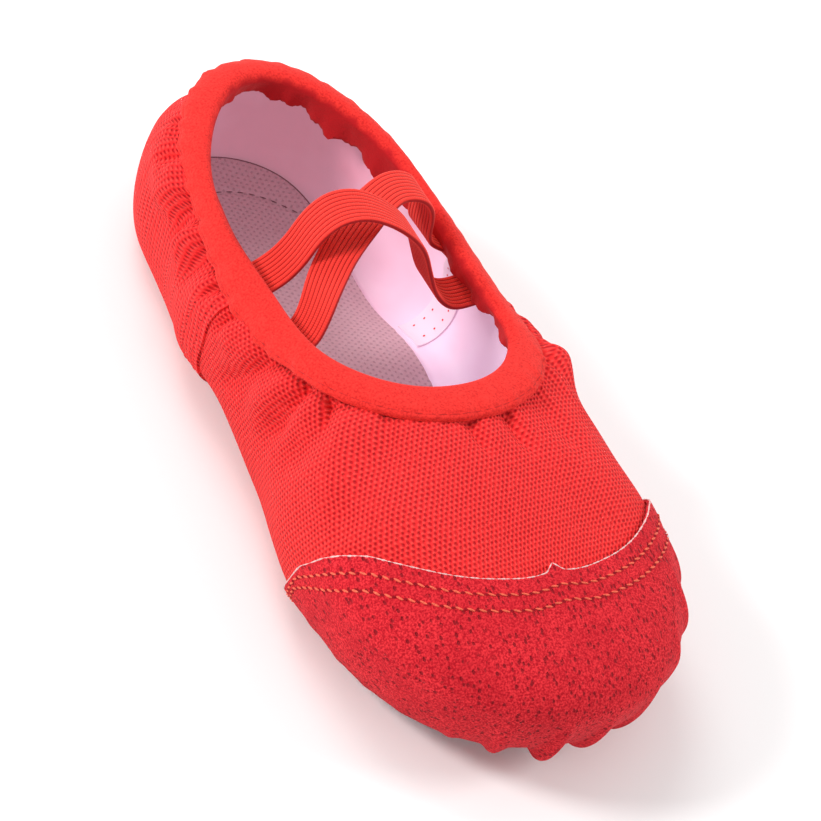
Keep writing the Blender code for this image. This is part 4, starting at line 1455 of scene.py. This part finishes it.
def make_camera():
    """The photograph's viewpoint."""
    data = bpy.data.cameras.new("camera")
    data.lens = CAMERA_LENS
    data.clip_start = 0.01
    camera = bpy.data.objects.new("camera", data)
    back = (CAMERA_EYE - CAMERA_AIM).normalized()
    right = CAMERA_UP.cross(back).normalized()
    up = back.cross(right)
    turn = Matrix((right, up, back)).transposed().to_4x4()
    camera.matrix_world = Matrix.Translation(CAMERA_EYE) @ turn
    bpy.context.scene.collection.objects.link(camera)
    bpy.context.scene.camera = camera


def main():
    for old in list(bpy.data.objects):
        bpy.data.objects.remove(old)
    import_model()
    canvas = canvas_finish()
    thread = thread_finish("red_thread", THREAD_ORANGE)
    white_thread = thread_finish("white_thread", PAD_LIGHT)
    # Painted shade: flat dark discs stand for the shade inside needle holes
    dark = thread_finish("needle_hole_shade", HOLE_SHADE, 0.9)
    make_vamp(canvas)
    make_quarter(canvas)
    make_lining(lining_finish())
    raw_edge = thread_finish("raw_edge", RAW_WHITE, 0.9)
    # Painted shade: discs in the suede's deep colour stand for the shade inside the cap's needle
    # holes
    cap_hole_shade = thread_finish("cap_needle_hole_shade", SUEDE_HOLE_SHADE, 0.9)
    make_toe_cap(suede_finish(), raw_edge, thread, cap_hole_shade)
    make_binding(tape_finish(), thread_finish("tape_thread", TAPE_THREAD))
    elastic = elastic_finish()
    make_strap("elastic_over", STRAP_OVER, STRAP_OVER_ENDS, "elastic_strap_over", elastic)
    make_strap("elastic_under", STRAP_UNDER, STRAP_UNDER_ENDS, "elastic_strap_under", elastic)
    make_insole(insole_finish(), thread_finish("insole_thread_and_shade", INSOLE_THREAD_AND_SHADE))
    pad_looks = (pad_finish(), white_thread, dark)
    make_pad("forefoot_pad", FOREFOOT_PAD, FOREFOOT_TRIM, "forefoot_sole", *pad_looks)
    make_pad("heel_pad", HEEL_PAD, 0.0, "heel_sole", *pad_looks)
    seam_thread = thread_finish("canvas_thread", CANVAS_RED)
    tape = Finish("seam_tape", SEAM_TAPE_WHITE, 0.8).material
    dot = thread_finish("pin_stitch", CANVAS_RED)
    for side, sign in (("left", 1), ("right", -1)):
        make_seam(side, sign, seam_thread, dark)
        make_seam_tape(side, sign, tape, dot)
    make_sole_seam(seam_thread, dark)
    make_floor()
    make_studio()
    make_camera()


main()
